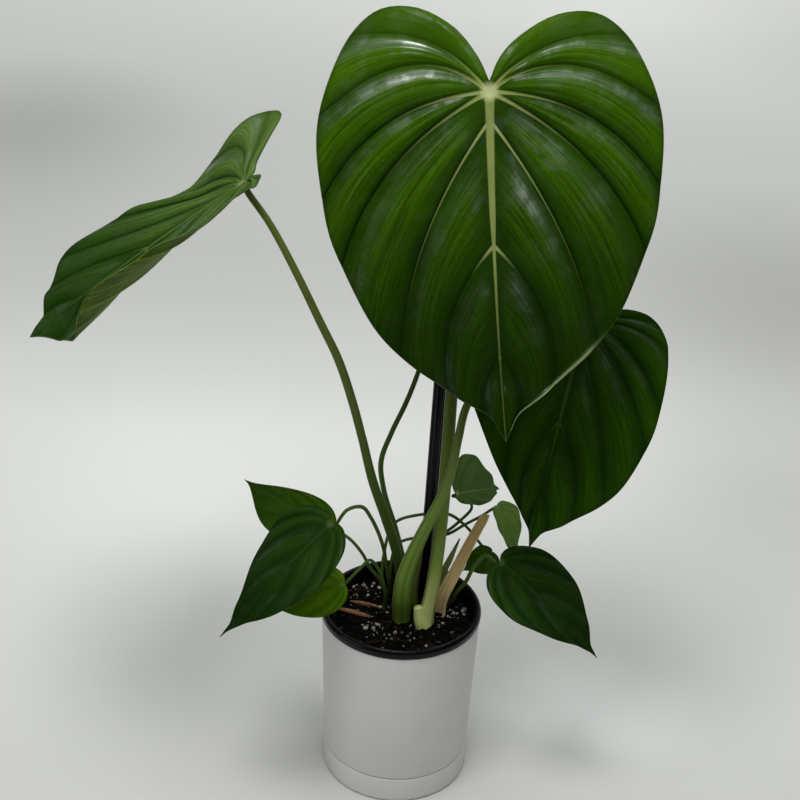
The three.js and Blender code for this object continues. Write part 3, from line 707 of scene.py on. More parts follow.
finished("perlite_grains", as_mesh("perlite_grains", perlite), [perlite_finish()], ["soil"], "soil")

# %% Bark chips and strips
# each strip: its place, its turn in degrees, and its length, width and thickness in mm
DRY_STRIPS = (((-28, 14), -10, (22, 3.2, 2.4)), ((-36, 1), -14, (28, 4.5, 2.2)), ((38, 24), 60, (17, 4, 2.4)))
WET_STRIPS = (((-20, -34), 25, (15, 4, 2.4)), ((24, -36), -35, (13, 5, 2.6)))
STRIP_TILT = 4
STRIP_PROUD = 0.9
CHIP_PROUD = 0.2
CHIP_TILT = 15


def is_long(edge):
    return abs((edge.verts[0].co - edge.verts[1].co).x) > 0.1


def splinter(place, turn, tilt, size):
    """A splinter of bark: a box cut into short lengths, bevelled, pointed and roughened by noise."""
    bm = bmesh.new()
    bmesh.ops.create_cube(bm, size=1)
    bmesh.ops.subdivide_edges(bm, edges=list(filter(is_long, bm.edges)), cuts=4, use_grid_fill=True)
    bmesh.ops.bevel(
        bm, geom=list(filter(is_long, bm.edges)), offset=0.22, offset_type="OFFSET",
        affect="EDGES", segments=2, profile=0.5, material=-1,
    )
    shift = Vector(rng.random(3) * 50)
    for vert in bm.verts:
        taper = 1 - 0.55 * abs(vert.co.x * 2) ** 3
        vert.co = Vector((vert.co.x * size[0], vert.co.y * size[1] * taper, vert.co.z * size[2] * taper))
        vert.co += 0.5 * noise.noise_vector(vert.co * 0.35 + shift) * min(1, size[1] / 3)
    spin = Matrix.Rotation(math.radians(turn), 4, "Z") @ Matrix.Rotation(math.radians(tilt), 4, "Y")
    bmesh.ops.transform(bm, matrix=Matrix.Translation(place) @ spin, verts=bm.verts)
    return as_mesh("splinter", bm)


def gathered(name, meshes):
    """Joins meshes into one, and drops the single ones."""
    bm = bmesh.new()
    for mesh in meshes:
        bm.from_mesh(mesh)
        bpy.data.meshes.remove(mesh)
    return as_mesh(name, bm)


def scattered_chips(count):
    for _ in range(count):
        x, y, z = drop_place()
        length = 2 + 6 * rng.random() ** 2
        size = (length, length * (0.3 + 0.35 * rng.random()), length * 0.2)
        turn = 360 * rng.random()
        lean = 2 * CHIP_TILT * rng.random() - CHIP_TILT
        yield splinter((x, y, z + CHIP_PROUD), turn, lean, size)


def laid_strips(strips):
    for (x, y), turn, size in strips:
        yield splinter((x, y, float(soil_height(x, y)) + STRIP_PROUD), turn, STRIP_TILT, size)


def bark_finish(name, dark, light, shine):
    material, start = new_material(name)
    place = object_place(start)
    fibre = cloud(stretched(start, place, (1, 3.5, 3.5)), 380, 5, 0.65)
    shade = blend(fibre.step(0.3, 0.7), dark, light)
    lay_on(start, Base_Color=shade, Roughness=0.86, Normal=bump(fibre, 0.5), Specular_IOR_Level=shine)
    return material


dry_bark = bark_finish("dry_bark", paint(70, 43, 27), paint(150, 106, 72), 0.3)
wet_bark = bark_finish("wet_bark", paint(6, 4, 3), paint(32, 22, 15), 0.06)
finished("bark_strips", gathered("bark_strips", laid_strips(DRY_STRIPS)), [dry_bark], ["soil"], "soil")
wet_pieces = [*scattered_chips(CHIP_COUNT), *laid_strips(WET_STRIPS)]
finished("bark_chips", gathered("bark_chips", wet_pieces), [wet_bark], ["soil"], "soil")
print("soil pieces", {name: count for name, count in made_triangles.items() if "shell" not in name})

# %% [markdown]
# ## The support stake
# The stake is an extruded black rod with nine grooves down it. Its section is a disc whose radius
# dips nine times round, and the disc is extruded up to the top. That keeps the grooves dead
# straight, which a displaced cylinder would not.

# %% Stake
STAKE_FOOT = Vector((16.7, 26.7, 100))
STAKE_TOP = Vector((21.5, 30.6, 352))
STAKE_RADIUS = 5.3
STAKE_FLUTES = 9
STAKE_FLUTE_DEPTH = 0.8
STAKE_SIDES = STAKE_FLUTES * 14
STAKE_CHAMFER = 0.7
STAKE_CROWN = 1
STAKE_CROWN_RISE = 0.8


def stake_rod():
    bm = bmesh.new()
    ring = bmesh.ops.create_circle(bm, cap_ends=True, segments=STAKE_SIDES, radius=STAKE_RADIUS)["verts"]
    for vert in ring:
        angle = math.atan2(vert.co.y, vert.co.x)
        dip = STAKE_FLUTE_DEPTH * (0.5 - 0.5 * math.cos(STAKE_FLUTES * angle))
        vert.co *= 1 - dip / STAKE_RADIUS
    length = (STAKE_TOP - STAKE_FOOT).length
    top = bmesh.ops.extrude_face_region(bm, geom=list(bm.faces))["geom"]
    lid = [part for part in top if isinstance(part, bmesh.types.BMVert)]
    bmesh.ops.translate(bm, vec=(0, 0, length - STAKE_CROWN), verts=lid)
    face = next(part for part in top if isinstance(part, bmesh.types.BMFace))
    bmesh.ops.inset_individual(bm, faces=[face], thickness=STAKE_CHAMFER, depth=STAKE_CROWN_RISE)
    bmesh.ops.recalc_face_normals(bm, faces=bm.faces)
    lean = (STAKE_TOP - STAKE_FOOT).to_track_quat("Z", "Y").to_matrix().to_4x4()
    bmesh.ops.transform(bm, matrix=Matrix.Translation(STAKE_FOOT) @ lean, verts=bm.verts)
    return as_mesh("fluted_stake", bm)


def stake_finish():
    material, start = new_material("black_fluted_plastic")
    place = object_place(start)
    streak = cloud(stretched(start, place, (1, 1, 0.04)), 420, 3)
    shade = blend(streak, paint(3, 5, 7), paint(8, 12, 16))
    rough = 0.3 + 0.12 * streak
    lay_on(start, Base_Color=shade, Roughness=rough, Normal=bump(streak, 0.05), Specular_IOR_Level=0.16)
    return material


finished("fluted_stake", stake_rod(), [stake_finish()], ["support_stake"], "stake")

# %% [markdown]
# ## The line of a leaf
# A leaf blade is one thin sheet that carries its own map: the midrib down its middle and lateral
# veins that sweep out of the midrib and meet the margin. The blade is built on that map. A flat
# grid's columns become the veins and its rows run from one margin over the midrib to the other,
# so every groove and every pale vein follows the growth of the leaf. A sculpted sheet with a
# painted picture of veins would look alike from the front and wrong from every other side.

# %% Outlines and veins
HEART = {
    "outline": (
        (0, 1), (0.014, 0.968), (0.04, 0.925), (0.085, 0.89), (0.135, 0.855), (0.245, 0.765), (0.35, 0.645),
        (0.43, 0.47), (0.478, 0.29), (0.487, 0.12), (0.462, -0.03), (0.4, -0.15), (0.31, -0.222),
        (0.2, -0.222), (0.1, -0.17), (0.035, -0.1), (0, -0.03),
    ),
    "start": (1, 0.75, 0.435, 0.08, 0, 0, 0, 0, 0),
    "end": (0, 0.055, 0.117, 0.206, 0.373, 0.479, 0.607, 0.73, 1),
    "angle": (60, 55, 46, 54, 27, 2, -38, -50, -90),
    "pale_reach": (0.15, 0.05, 0.24, 0.9, 0.6, 0.62, 0.52, 0.5, 0.3),
    "arch": 0.58,
}
OVATE = {
    "outline": (
        (0, 1), (0.01, 0.95), (0.028, 0.9), (0.07, 0.835), (0.13, 0.75), (0.21, 0.62), (0.27, 0.47),
        (0.3, 0.32), (0.285, 0.17), (0.23, 0.06), (0.17, 0), (0.1, -0.035), (0.04, -0.03), (0, 0),
    ),
    "start": (1, 0.62, 0.28, 0, 0, 0, 0),
    "end": (0, 0.1, 0.22, 0.42, 0.6, 0.78, 1),
    "angle": (75, 58, 50, 36, 2, -48, -80),
    "pale_reach": (0.1, 0.35, 0.5, 0.45, 0.35, 0.22, 0),
    "arch": 0.45,
}
SHAPES = {"heart": HEART, "ovate": OVATE}
HEART_HALF_WIDTH = 0.487
BLADE_THICKNESS = 0.8
PANEL_ARCH = 3.4
MARGIN_RELIEF = 0.15
WAVES_PER_PANEL = 0.7
RELIEF_START = 0.16
RELIEF_END_PANELS = 0.8
TWIST_CENTRE = 0.4
LOBE_RISE_FROM = 0.18
LOBE_RISE_OVER = 0.4
LOBE_BLEND = 0.1
LOWEST_SHARE = -0.3
FULLNESS_CENTRE = 0.3
YOUNG_QUILT = 0.22


# %% Lines through points
def through(points, steps, power=0.0):
    """A Catmull-Rom line through the points, steps to a span; a power of 0.25 makes it centripetal."""
    known = np.array(points, float)
    known = np.vstack([2 * known[0] - known[1], known, 2 * known[-1] - known[-2]])
    t = np.linspace(0, 1, steps, endpoint=False)[:, None]
    spans = []
    for a, b, c, d in zip(known, known[1:], known[2:], known[3:]):
        before, own, after = (max(((q - p) ** 2).sum(), 1e-12) ** power for p, q in ((a, b), (b, c), (c, d)))
        leave = ((b - a) / before - (c - a) / (before + own) + (c - b) / own) * own
        arrive = ((c - b) / own - (d - b) / (own + after) + (d - c) / after) * own
        spans.append(
            b + leave * t + (3 * (c - b) - 2 * leave - arrive) * t**2 + (2 * (b - c) + leave + arrive) * t**3
        )
    return np.vstack([*spans, known[-2:-1]])


def by_length(line):
    """Each point's share of the line's length."""
    steps = np.linalg.norm(np.diff(line, axis=0), axis=1)
    length = np.concatenate([[0], np.cumsum(steps)])
    return length / length[-1]


def smooth(value):
    value = np.clip(value, 0, 1)
    return value * value * (3 - 2 * value)


for shape in SHAPES.values():
    shape["line"] = through(shape["outline"], 80)
    shape["share"] = by_length(shape["line"])
    shape["panels"] = len(shape["start"]) - 1
print("a heart has", HEART["panels"], "panels a side, an ovate blade", OVATE["panels"])


# %% A point of the flat half blade
def flat_point(shape, s, r):
    """Where vein number s (0 at the tip) is at share r of its way from the midrib to the margin."""
    veins = np.arange(shape["panels"] + 1)
    start = np.stack([0 * s, np.interp(s, veins, shape["start"])], 1)
    share = np.interp(s, veins, shape["end"])
    end = np.stack([np.interp(share, shape["share"], shape["line"][:, axis]) for axis in (0, 1)], 1)
    angle = np.radians(np.interp(s, veins, shape["angle"]))
    reach = shape["arch"] * np.linalg.norm(end - start, axis=1)
    middle = start + np.stack([np.cos(angle), np.sin(angle)], 1) * reach[:, None]
    r = r[:, None]
    return (1 - r) ** 2 * start + 2 * r * (1 - r) * middle + r**2 * end


# %% [markdown]
# ## The stance of each blade
# A blade is placed by its sinus, where the stalk meets it, by its tip and by the way it faces.
# Each half then has its own width, fold at the midrib, cup and droop, because no two halves of
# a real leaf hang alike. The numbers are the ones that the solids were built from.

# %% Blades
PLAIN_HALF = {
    "width": 1, "full": 0, "slim": 0, "fold": 6, "rise": 0,
    "cup": -6, "curl": 0, "lobe": 20, "back": 1, "point": 0,
}


def blade(
    shape, sinus, tip, face, bend, ridge, wave, keel, left, right,
    sway=0, twist=0, fine=(12, 26), hem=0,
):
    """A blade's stance in mm and degrees; left and right say how each half differs from the plain one."""
    return {
        "shape": SHAPES[shape], "sinus": np.array(sinus, float), "tip": np.array(tip, float),
        "face": np.array(face, float), "bend": bend, "sway": sway, "twist": twist, "ridge": ridge,
        "wave": wave, "keel": keel, "halves": ({**PLAIN_HALF, **left}, {**PLAIN_HALF, **right}),
        "fine": fine, "hem": hem, "quilt": 1 if SHAPES[shape] is HEART else YOUNG_QUILT,
    }


BLADES = {
    "front": blade(
        "heart", (39.8, 3, 540.1), (61.7, -85.8, 335.9), (-0.05, -0.93, 0.35), 10, 2.4, 2, 1.8,
        {"width": 1.04, "fold": -4, "cup": -8, "lobe": 41, "back": 1.17},
        {"width": 1.02, "fold": -4, "cup": -8, "lobe": 28, "back": 1.01},
        sway=3.8, fine=(30, 54), hem=2.8,
    ),
    "right": blade(
        "heart", (117.4, 12, 377.4), (86.3, -49.8, 231.2), (-0.05, -0.93, 0.35), 16, 1.7, 1.5, 1.4,
        {"width": 0.99, "slim": 0.9, "fold": 2, "cup": -6, "lobe": 45},
        {"width": 0.845, "full": 0.32, "fold": 2, "cup": -6, "lobe": 55, "back": 0.46},
        sway=4, fine=(22, 42),
    ),
    "left": blade(
        "heart", (-118.4, 10, 468.3), (-252, -47.7, 376.9), (-0.48, -0.06, 0.84), 6, 1.9, 1.5, 1.4,
        {"width": 1.04, "full": 0.6, "fold": 0, "rise": 33, "cup": 0, "lobe": 10, "back": 1.09, "point": 1.5},
        {"width": 1.2, "full": 2.2, "fold": -1.3, "rise": -6, "cup": 14, "curl": 32, "lobe": 24, "back": 0.3},
        twist=-26, fine=(22, 42),
    ),
    "back": blade(
        "ovate", (22.1, 75, 361.2), (-38.3, 30, 375.6), (-0.25, -0.62, 0.74), 14, 1.2, 0.8, 0.9,
        {"width": 1.1}, {"width": 1.3, "full": 0.8},
    ),
    "small_1": blade(
        "ovate", (-52.3, -40, 237.7), (-126.2, -80, 165.6), (-0.45, -0.6, 0.64), 11, 1.1, 0.8, 0.7,
        {"width": 0.9, "full": -0.66}, {"width": 0.95}, fine=(14, 30),
    ),
    "small_2": blade(
        "ovate", (-54.6, -15.5, 219.8), (-116.2, -12, 254.2), (-0.17, -0.68, 0.66), 12, 0.9, 0.6, 0.6,
        {"width": 0.66, "full": -0.45, "back": 1.1}, {"width": 1.04, "full": 0.91, "slim": -0.45},
    ),
    "small_3": blade(
        "ovate", (-43.2, -26, 177.6), (-101.1, -36, 162.1), (-0.2, -0.7, 0.7), 14, 0.7, 0.5, 0.5,
        {}, {"width": 1.1, "full": 0.11},
    ),
    "small_4": blade(
        "ovate", (70.1, -22, 200.3), (143, -50, 139.8), (0.35, -0.6, 0.62), 15, 1.1, 0.8, 0.7,
        {"width": 0.96, "full": -0.44}, {"width": 1.05, "full": 0.27}, fine=(14, 30),
    ),
    "small_5": blade(
        "ovate", (37.9, 42.9, 216.2), (72.7, 88, 195.1), (0.14, -0.59, 0.55), 29, 0.7, 0.9, 0.5,
        {"width": 0.62, "full": 0.42}, {"width": 1.58, "full": 0.43},
    ),
    "small_6": blade(
        "ovate", (68.1, 33, 212.6), (83, 18, 175.9), (0.47, -0.26, 0.45), 23, 0.6, 0.4, 0.4,
        {"width": 0.75}, {"width": 1.62, "full": -0.17, "back": 1.6},
    ),
    "small_7": blade(
        "ovate", (66.5, 25, 177.6), (43.7, 0, 176.1), (0.21, -0.51, 0.79), 14, 0.6, 0.4, 0.4,
        {"width": 0.9}, {"width": 1.5},
    ),
}


# %% Axes of a blade
def arc_over_chord(degrees):
    half = math.radians(degrees) / 2
    return half / math.sin(half) if half else 1


def axes_of(blade):
    """Unit vectors out to the right half, towards the tip and out of the face, and the length."""
    chord = blade["tip"] - blade["sinus"]
    along = chord / np.linalg.norm(chord)
    face = blade["face"] - (blade["face"] @ along) * along
    face /= np.linalg.norm(face)
    length = np.linalg.norm(chord) * arc_over_chord(blade["bend"]) * arc_over_chord(blade["sway"])
    return np.cross(face, along), along, face, length


def turned_by(x, y, angle):
    return x * math.cos(angle) - y * math.sin(angle), x * math.sin(angle) + y * math.cos(angle)


# %% From the map to the air
def blade_points(blade, s, r, raised):
    """Points of the blade in millimetres. r is below 0 on the left half, and raised lifts the face."""
    out_axis, tip_axis, face_axis, length = axes_of(blade)
    side = np.where(r < 0, -1.0, 1.0)
    flat = flat_point(blade["shape"], s, np.abs(r))
    left, right = blade["halves"]
    half = {key: np.where(r < 0, left[key], right[key]) for key in left}
    own = smooth(flat[:, 0] / LOBE_BLEND)
    mean = {key: (left[key] + right[key]) / 2 for key in ("back", "lobe")}
    back = mean["back"] + (half["back"] - mean["back"]) * own
    lobe = mean["lobe"] + (half["lobe"] - mean["lobe"]) * own
    reach = back * (1 + half["point"] * own * (flat[:, 0] / HEART_HALF_WIDTH - 0.5))
    along = np.where(flat[:, 1] < 0, flat[:, 1] * reach, flat[:, 1]) * length
    t = np.clip(along / length, LOWEST_SHARE, 1)
    past = np.maximum(t, 0) - FULLNESS_CENTRE
    fullness = 1 + half["full"] * past - half["slim"] * np.maximum(past, 0)
    out = flat[:, 0] * length * half["width"] * fullness

    lift = half["rise"] * smooth((LOBE_RISE_FROM - t) / LOBE_RISE_OVER)
    slope = np.radians(half["fold"] + side * blade["twist"] * (t - TWIST_CENTRE) + lift)
    turn = np.radians(half["cup"] + half["curl"] * np.maximum(t, 0)) / (0.5 * length)
    turn = np.where(np.abs(turn) < 1e-7, 1e-7, turn)
    end = slope + turn * out
    x = side * ((np.sin(end) - np.sin(slope)) / turn - raised * np.sin(end))
    z = -(np.cos(end) - np.cos(slope)) / turn + raised * np.cos(end)

    sway = math.radians(blade["sway"]) / length
    y = along
    if sway:
        angle = sway * np.maximum(along, 0)
        x, y = (
            (1 - np.cos(angle)) / sway + x * np.cos(angle),
            np.sin(angle) / sway + np.minimum(along, 0) - x * np.sin(angle),
        )
        x, y = turned_by(x, y, math.radians(blade["sway"]) / 2)
    droop = np.radians(np.where(y >= 0, blade["bend"], lobe)) / length
    angle = droop * y
    forward = np.sin(angle) / droop + np.sin(angle) * z
    upward = -(1 - np.cos(angle)) / droop + np.cos(angle) * z
    forward, upward = turned_by(forward, upward, math.radians(blade["bend"]) / 2)
    return blade["sinus"] + np.outer(x, out_axis) + np.outer(forward, tip_axis) + np.outer(upward, face_axis)


# %% [markdown]
# ## Ribs, panels and hem
# Between two veins the blade puffs up like a quilted panel, and at the vein it meets its
# neighbour in a sharp valley. Each wide panel also carries three weak grooves that run with its veins,
# and the large leaf's margin turns up in a hem. All of this is real relief in the mesh, because it
# is what the light draws on the leaf; the finish adds the hair-fine veins and paints shade into the valleys
# as well.

# %% Relief of a blade
PANEL_CREST = 2.1
PANEL_DEEPER = 1.3
MINOR_GROOVES = 3
MINOR_DEPTH = 0.34
MINOR_WIDTH = 1.2
HEM_SHARE = 0.035
HEM_END = 3.4


def hem_share(blade, s, r):
    """How far the margin is turned up: only on the right half, from the tip to the widest place."""
    right_side = (r > 0) * smooth(s / 0.5) * smooth((HEM_END - s) / 0.8)
    return smooth((np.abs(r) - 1 + HEM_SHARE) / HEM_SHARE) * right_side * (blade["hem"] > 0)


def minor_grooves(s, r, panel_width):
    """1 in the weak grooves inside a panel and 0 between them."""
    rows = np.abs(r)
    grooves = 0
    for groove in range(1, MINOR_GROOVES + 1):
        distance = (s - np.floor(s) - groove / (MINOR_GROOVES + 1)) * panel_width
        grooves = grooves + np.exp(-((distance / MINOR_WIDTH) ** 2))
    return grooves * smooth(rows / 0.3) * smooth((1 - rows) / 0.15) * smooth(panel_width / 9 - 0.4)


def relief(blade, s, r, panel_width):
    """Height above the blade's smooth form, in mm; panel_width is a whole panel's, in mm."""
    share = s - np.floor(s)
    rows = np.abs(r)
    crest = 1 - np.abs(2 * share - 1) ** PANEL_CREST
    across = (PANEL_ARCH * rows * (1 - rows) + MARGIN_RELIEF * rows) * smooth(rows / RELIEF_START)
    minor = MINOR_DEPTH * minor_grooves(s, r, panel_width)
    ripple = np.sin(2 * math.pi * WAVES_PER_PANEL * s + 1) * rows**4
    inside = smooth(s / RELIEF_END_PANELS) * smooth((blade["shape"]["panels"] - s) / RELIEF_END_PANELS)
    quilt = PANEL_DEEPER * blade["quilt"] * blade["ridge"] * crest * across
    raised = (quilt + blade["wave"] * ripple - minor * blade["ridge"] / 2) * inside
    return raised + blade["hem"] * hem_share(blade, s, r)


# %% Distances on a blade
def pace(blade, s, r, step_s, step_r):
    """How many mm the blade's point moves for a small step on its map, per unit of that step."""
    before = blade_points(blade, s - step_s / 2, r - step_r / 2, 0 * s)
    after = blade_points(blade, s + step_s / 2, r + step_r / 2, 0 * s)
    return np.linalg.norm(after - before, axis=1) / (step_s + step_r)


def map_distances(blade, s, r):
    """In mm: a panel's width, and the way to the nearest vein, to the midrib and to the margin."""
    shape = blade["shape"]
    rows = np.abs(r)
    inner = np.clip(s, 0.01, shape["panels"] - 0.01)
    width = pace(blade, inner, r, 0.01, 0)
    share = s - np.floor(s)
    to_vein = np.minimum(share, 1 - share) * width
    steady = np.where(r < 0, -1, 1) * np.clip(rows, 0.01, 0.99)
    to_edge = (1 - rows) * pace(blade, s, steady, 0, 0.01)
    flat = flat_point(shape, s, rows)
    length = axes_of(blade)[3]
    to_rib = np.hypot(flat[:, 0], np.minimum(flat[:, 1], 0)) * length
    return width, to_vein, to_rib, to_edge, flat[:, 1], np.hypot(flat[:, 0], flat[:, 1]) * length


# %% Build a blade
RIB_HALF_WIDTH = ((0, 3.0), (0.06, 2.6), (0.36, 1.7), (0.44, 0.95), (0.7, 0.6), (1, 0.35))
VEIN_HALF_WIDTH = ((0, 1.9), (0.12, 1.1), (0.4, 0.6), (1, 0.3))
BACK_RIB = 0.5
PALE_FADE = 1.8
FRONT_LENGTH = 220


def crowd(share, pull):
    """Draws shares from 0 to 1 towards both ends."""
    return share - pull * np.sin(2 * math.pi * share) / (2 * math.pi)


def blade_mesh(name, blade):
    shape = blade["shape"]
    columns, rows = blade["fine"]
    mesh, across, up = flat_grid(name, columns * shape["panels"], 2 * rows)
    s = across * shape["panels"]
    s = np.floor(s + 1e-6) + crowd(np.clip(s - np.floor(s + 1e-6), 0, 1), 0.75)
    r = np.round((2 * up - 1) * rows) / rows
    r = np.sign(r) * (0.6 * np.abs(r) + 0.4 * (0.5 - 0.5 * np.cos(math.pi * np.abs(r))))
    width, to_vein, to_rib, to_edge, down, to_sinus = map_distances(blade, s, r)
    size = (axes_of(blade)[3] / FRONT_LENGTH) ** 0.75
    rib_half = size * np.interp(down, *zip(*RIB_HALF_WIDTH))
    vein_half = size * np.interp(np.abs(r), *zip(*VEIN_HALF_WIDTH))
    nearest = np.clip(np.round(s), 0, shape["panels"]).astype(int)
    pale_reach = np.maximum(np.array(shape["pale_reach"])[nearest], 0.01)
    pale = np.clip(1 - np.abs(r) / pale_reach, 0, 1) ** PALE_FADE

    keel = blade["keel"] * np.exp(-((to_rib / (1.6 * rib_half)) ** 2)) * np.sqrt(np.clip(1 - down, 0, 1))
    keel *= smooth((down - 0.01) / 0.1)
    ribs = BACK_RIB * size * np.exp(-((to_vein / (1.5 * vein_half)) ** 2)) * (1 - np.abs(r))
    raised = relief(blade, s, r, width)
    upper = blade_points(blade, s, r, raised + BLADE_THICKNESS / 2)
    lower = blade_points(blade, s, r, raised - BLADE_THICKNESS / 2 - keel - ribs)

    move_points(mesh, upper)
    put_uv(mesh, "veins", s, r)
    put_corners(mesh, vein=to_vein / vein_half, rib=to_rib / rib_half, edge=to_edge, down=down, pale=pale)
    put_corners(mesh, crest=smooth(np.minimum(s % 1, 1 - s % 1) * 2) * smooth(np.abs(r) / 0.2))
    put_corners(mesh, valley=to_vein / size, lit=smooth((s % 1 - 0.35) / 0.3), sinus=to_sinus / size)
    put_corners(mesh, hem=hem_share(blade, s, r), minor=minor_grooves(s, r, width))
    through_it = mesh.attributes.new("through_it", "FLOAT_VECTOR", "POINT")
    through_it.data.foreach_set("vector", np.ascontiguousarray(lower - upper, np.float32).ravel())
    return mesh


# %% [markdown]
# A Solidify modifier would push the underside along every bump's own normal, and in the tight
# folds near the stalk the two faces would cross. So the underside is a copy of the face, moved by
# the way through the blade that was stored at each vertex, and the two are bridged at the margin.

# %% Give the blade its thickness
SLOTS = {"front": "leaf", "left": "leaf", "right": "leaf_dark"}
SLOTS.update({name: "leaf_young" for name in BLADES if name not in SLOTS})


def faces_outward(bm, outward):
    """Whether the sheet's faces look that way on the whole."""
    return sum((face.normal * face.calc_area() for face in bm.faces), Vector()).dot(Vector(outward)) > 0


def thick_blade(name, blade, face, underside):
    bm = bmesh.new()
    bm.from_mesh(blade_mesh("blade_" + name, blade))
    bmesh.ops.remove_doubles(bm, verts=bm.verts, dist=GRID_WELD)
    bmesh.ops.recalc_face_normals(bm, faces=bm.faces)
    if not faces_outward(bm, axes_of(blade)[2]):
        bmesh.ops.reverse_faces(bm, faces=bm.faces)
    through_it = bm.verts.layers.float_vector["through_it"]
    copy = bmesh.ops.duplicate(bm, geom=[*bm.verts, *bm.edges, *bm.faces])["geom"]
    for vert in (part for part in copy if isinstance(part, bmesh.types.BMVert)):
        vert.co += vert[through_it]
    back = [part for part in copy if isinstance(part, bmesh.types.BMFace)]
    for part in back:
        part.material_index = 1
    bmesh.ops.reverse_faces(bm, faces=back)
    rim = bmesh.ops.bridge_loops(bm, edges=[edge for edge in bm.edges if edge.is_boundary])["faces"]
    for part in rim:
        part.material_index = 0
        for loop in part.loops:
            loop.copy_from(next(other for other in loop.vert.link_loops if other.face not in rim))
    bm.verts.layers.float_vector.remove(through_it)
    widest = max(edge.calc_length() for part in rim for edge in part.edges)
    print("leaf", name, "has", len(rim), "faces at its margin, the widest", round(widest, 1), "mm")
    mesh = as_mesh("leaf_" + name, bm)
    finished("leaf_" + name, mesh, [face, underside], ["blade_" + name], SLOTS[name])


# %% [markdown]
# ## The finish of a leaf
# The face is a deep saturated green under a thin wax that shines softly. Pale veins spring from
# the sinus and sink into the green on their way out. The masks come from the distances that were
# stored while the blade was built, so a vein keeps its true width in millimetres all along. Painted
# shade darkens the valleys and the tip, and painted light brightens the crowns, lobes and hem.


# %% Leaf face
VALLEY_PAINTED_SHADE = paint(5, 15, 1)
MARGIN_LINE = paint(104, 118, 60)
HEM_PAINTED_LIGHT = paint(126, 142, 100)
JUNCTION_PALE = paint(198, 202, 150)


def mark(start, name):
    """A number that was stored at the corners of the mesh."""
    return start.node("ShaderNodeAttribute", {"attribute_name": name}, out="Fac")


def map_place(start, across, along):
    """The leaf's own map, drawn out: across counts veins and along runs from midrib to margin."""
    spot = start.node("ShaderNodeUVMap", {"uv_map": "veins"})
    return stretched(start, spot, (across, along, 1))


def crest_edge(crest):
    """1 half way up a panel's side, 0 in its valley and on its crown."""
    return crest.step(0, 0.35) * crest.step(1, 0.6)


def leaf_face(name, colours, rough, pale_share, edge_share, wax_share, groove, tip_shade):
    """The upper face of a blade; colours run from its painted valley shade over its green to its veins."""
    deep, green, bright, pale = (paint(*colour) for colour in colours)
    material, start = new_material(name)
    place = object_place(start)
    vein, rib, edge, crest, lit = (mark(start, word) for word in ("vein", "rib", "edge", "crest", "lit"))
    clouds = cloud(place, 24, 3).step(0.3, 0.7)
    fibre = cloud(map_place(start, 26, 2.2), 1, 4, 0.65)
    threads = cloud(map_place(start, 90, 5), 1, 2, 0.6)
    mottle = cloud(place, 420, 3, 0.6)
    shade = blend(clouds * 0.7, green, deep)
    # painted light: the crown of each panel is painted brighter, streaked along its fibres
    shade = blend(crest * (0.2 + 0.7 * fibre.step(0.34, 0.66)), shade, bright)
    shade = blend(threads.step(0.55, 0.75) * 0.35, shade, bright)
    shade = blend(threads.step(0.45, 0.28) * 0.4, shade, deep)
    shade = blend(mottle.step(0.5, 0.7) * 0.25, shade, deep)

    # painted shade: the face is painted darker in its weak grooves and towards a vein, most of all on
    # the vein's side nearer the stalk, which faces down, and towards the tip; painted light brightens the
    # lobes
    down = mark(start, "down")
    shade = blend(mark(start, "minor").step(0.2, 1) * (0.25 + 0.3 * fibre) * groove, shade, deep)
    valley_shade = mark(start, "valley").step(6, 0.2) * (groove - 0.75 * groove * lit)
    shade = blend(valley_shade * (0.45 + 0.5 * fibre), shade, deep)
    shade = blend(valley_shade.step(0.55, 1) * 0.6, shade, VALLEY_PAINTED_SHADE)
    shade = blend(down.step(0.02, 0.8) * tip_shade, shade, deep)
    shade = blend(down.step(0.08, -0.12) * 0.3, shade, bright)
    shade = blend(edge.step(7, 0) * 0.35, shade, deep)

    midrib = rib.step(1.25, 0.7)
    line = vein.step(1.3, 0.4) * mark(start, "pale") * (1 - midrib)
    shade = blend(line * pale_share, shade, pale)
    stripe = cloud(map_place(start, 3, 40), 1, 2)
    faded = 1 - 0.7 * down.step(0.4, 0.8)
    shade = blend(midrib * (0.55 + 0.3 * stripe) * faded * pale_share, shade, pale)
    shade = blend(edge.step(0.8, 0.3) * edge_share, shade, MARGIN_LINE)
    # painted light: the turned-up hem is painted a pale grey-green where it catches the light
    shade = blend(mark(start, "hem").step(0.1, 0.9) * 0.75, shade, HEM_PAINTED_LIGHT)
    sinus = mark(start, "sinus")
    shade = blend(sinus.step(7.5, 2) * 0.95 * pale_share**2, shade, JUNCTION_PALE)
    uneven = rough + 0.14 * fibre + 0.05 * clouds - 0.06 * midrib

    # the wax is thickest where a panel faces up, and worn off in patches
    patches = cloud(place, 55, 3, 0.6).step(0.46, 0.62)
    lobes = (1 + 1.8 * down.step(0.12, -0.06)) * sinus.step(10, 75)
    broken = (0.4 + 0.7 * patches) * (1 - 0.6 * down.step(0.4, 0.85))
    streaks = lit * crest_edge(crest) * (0.5 + 0.8 * fibre.step(0.35, 0.65)) * lobes * broken
    wax = 0.01 + wax_share * (streaks + patches * fibre * 0.5)
    quilt = bump(cloud(place, 95, 2), 0.7)
    skin = bump(cells(place, 900, "SMOOTH_F1"), 0.04, bump(threads, 0.09, bump(fibre, 0.3, quilt)))
    lay_on(
        start, Base_Color=shade, Roughness=uneven, Normal=skin, Specular_IOR_Level=0.02,
        Coat_Weight=wax, Coat_Roughness=0.28,
    )
    return material


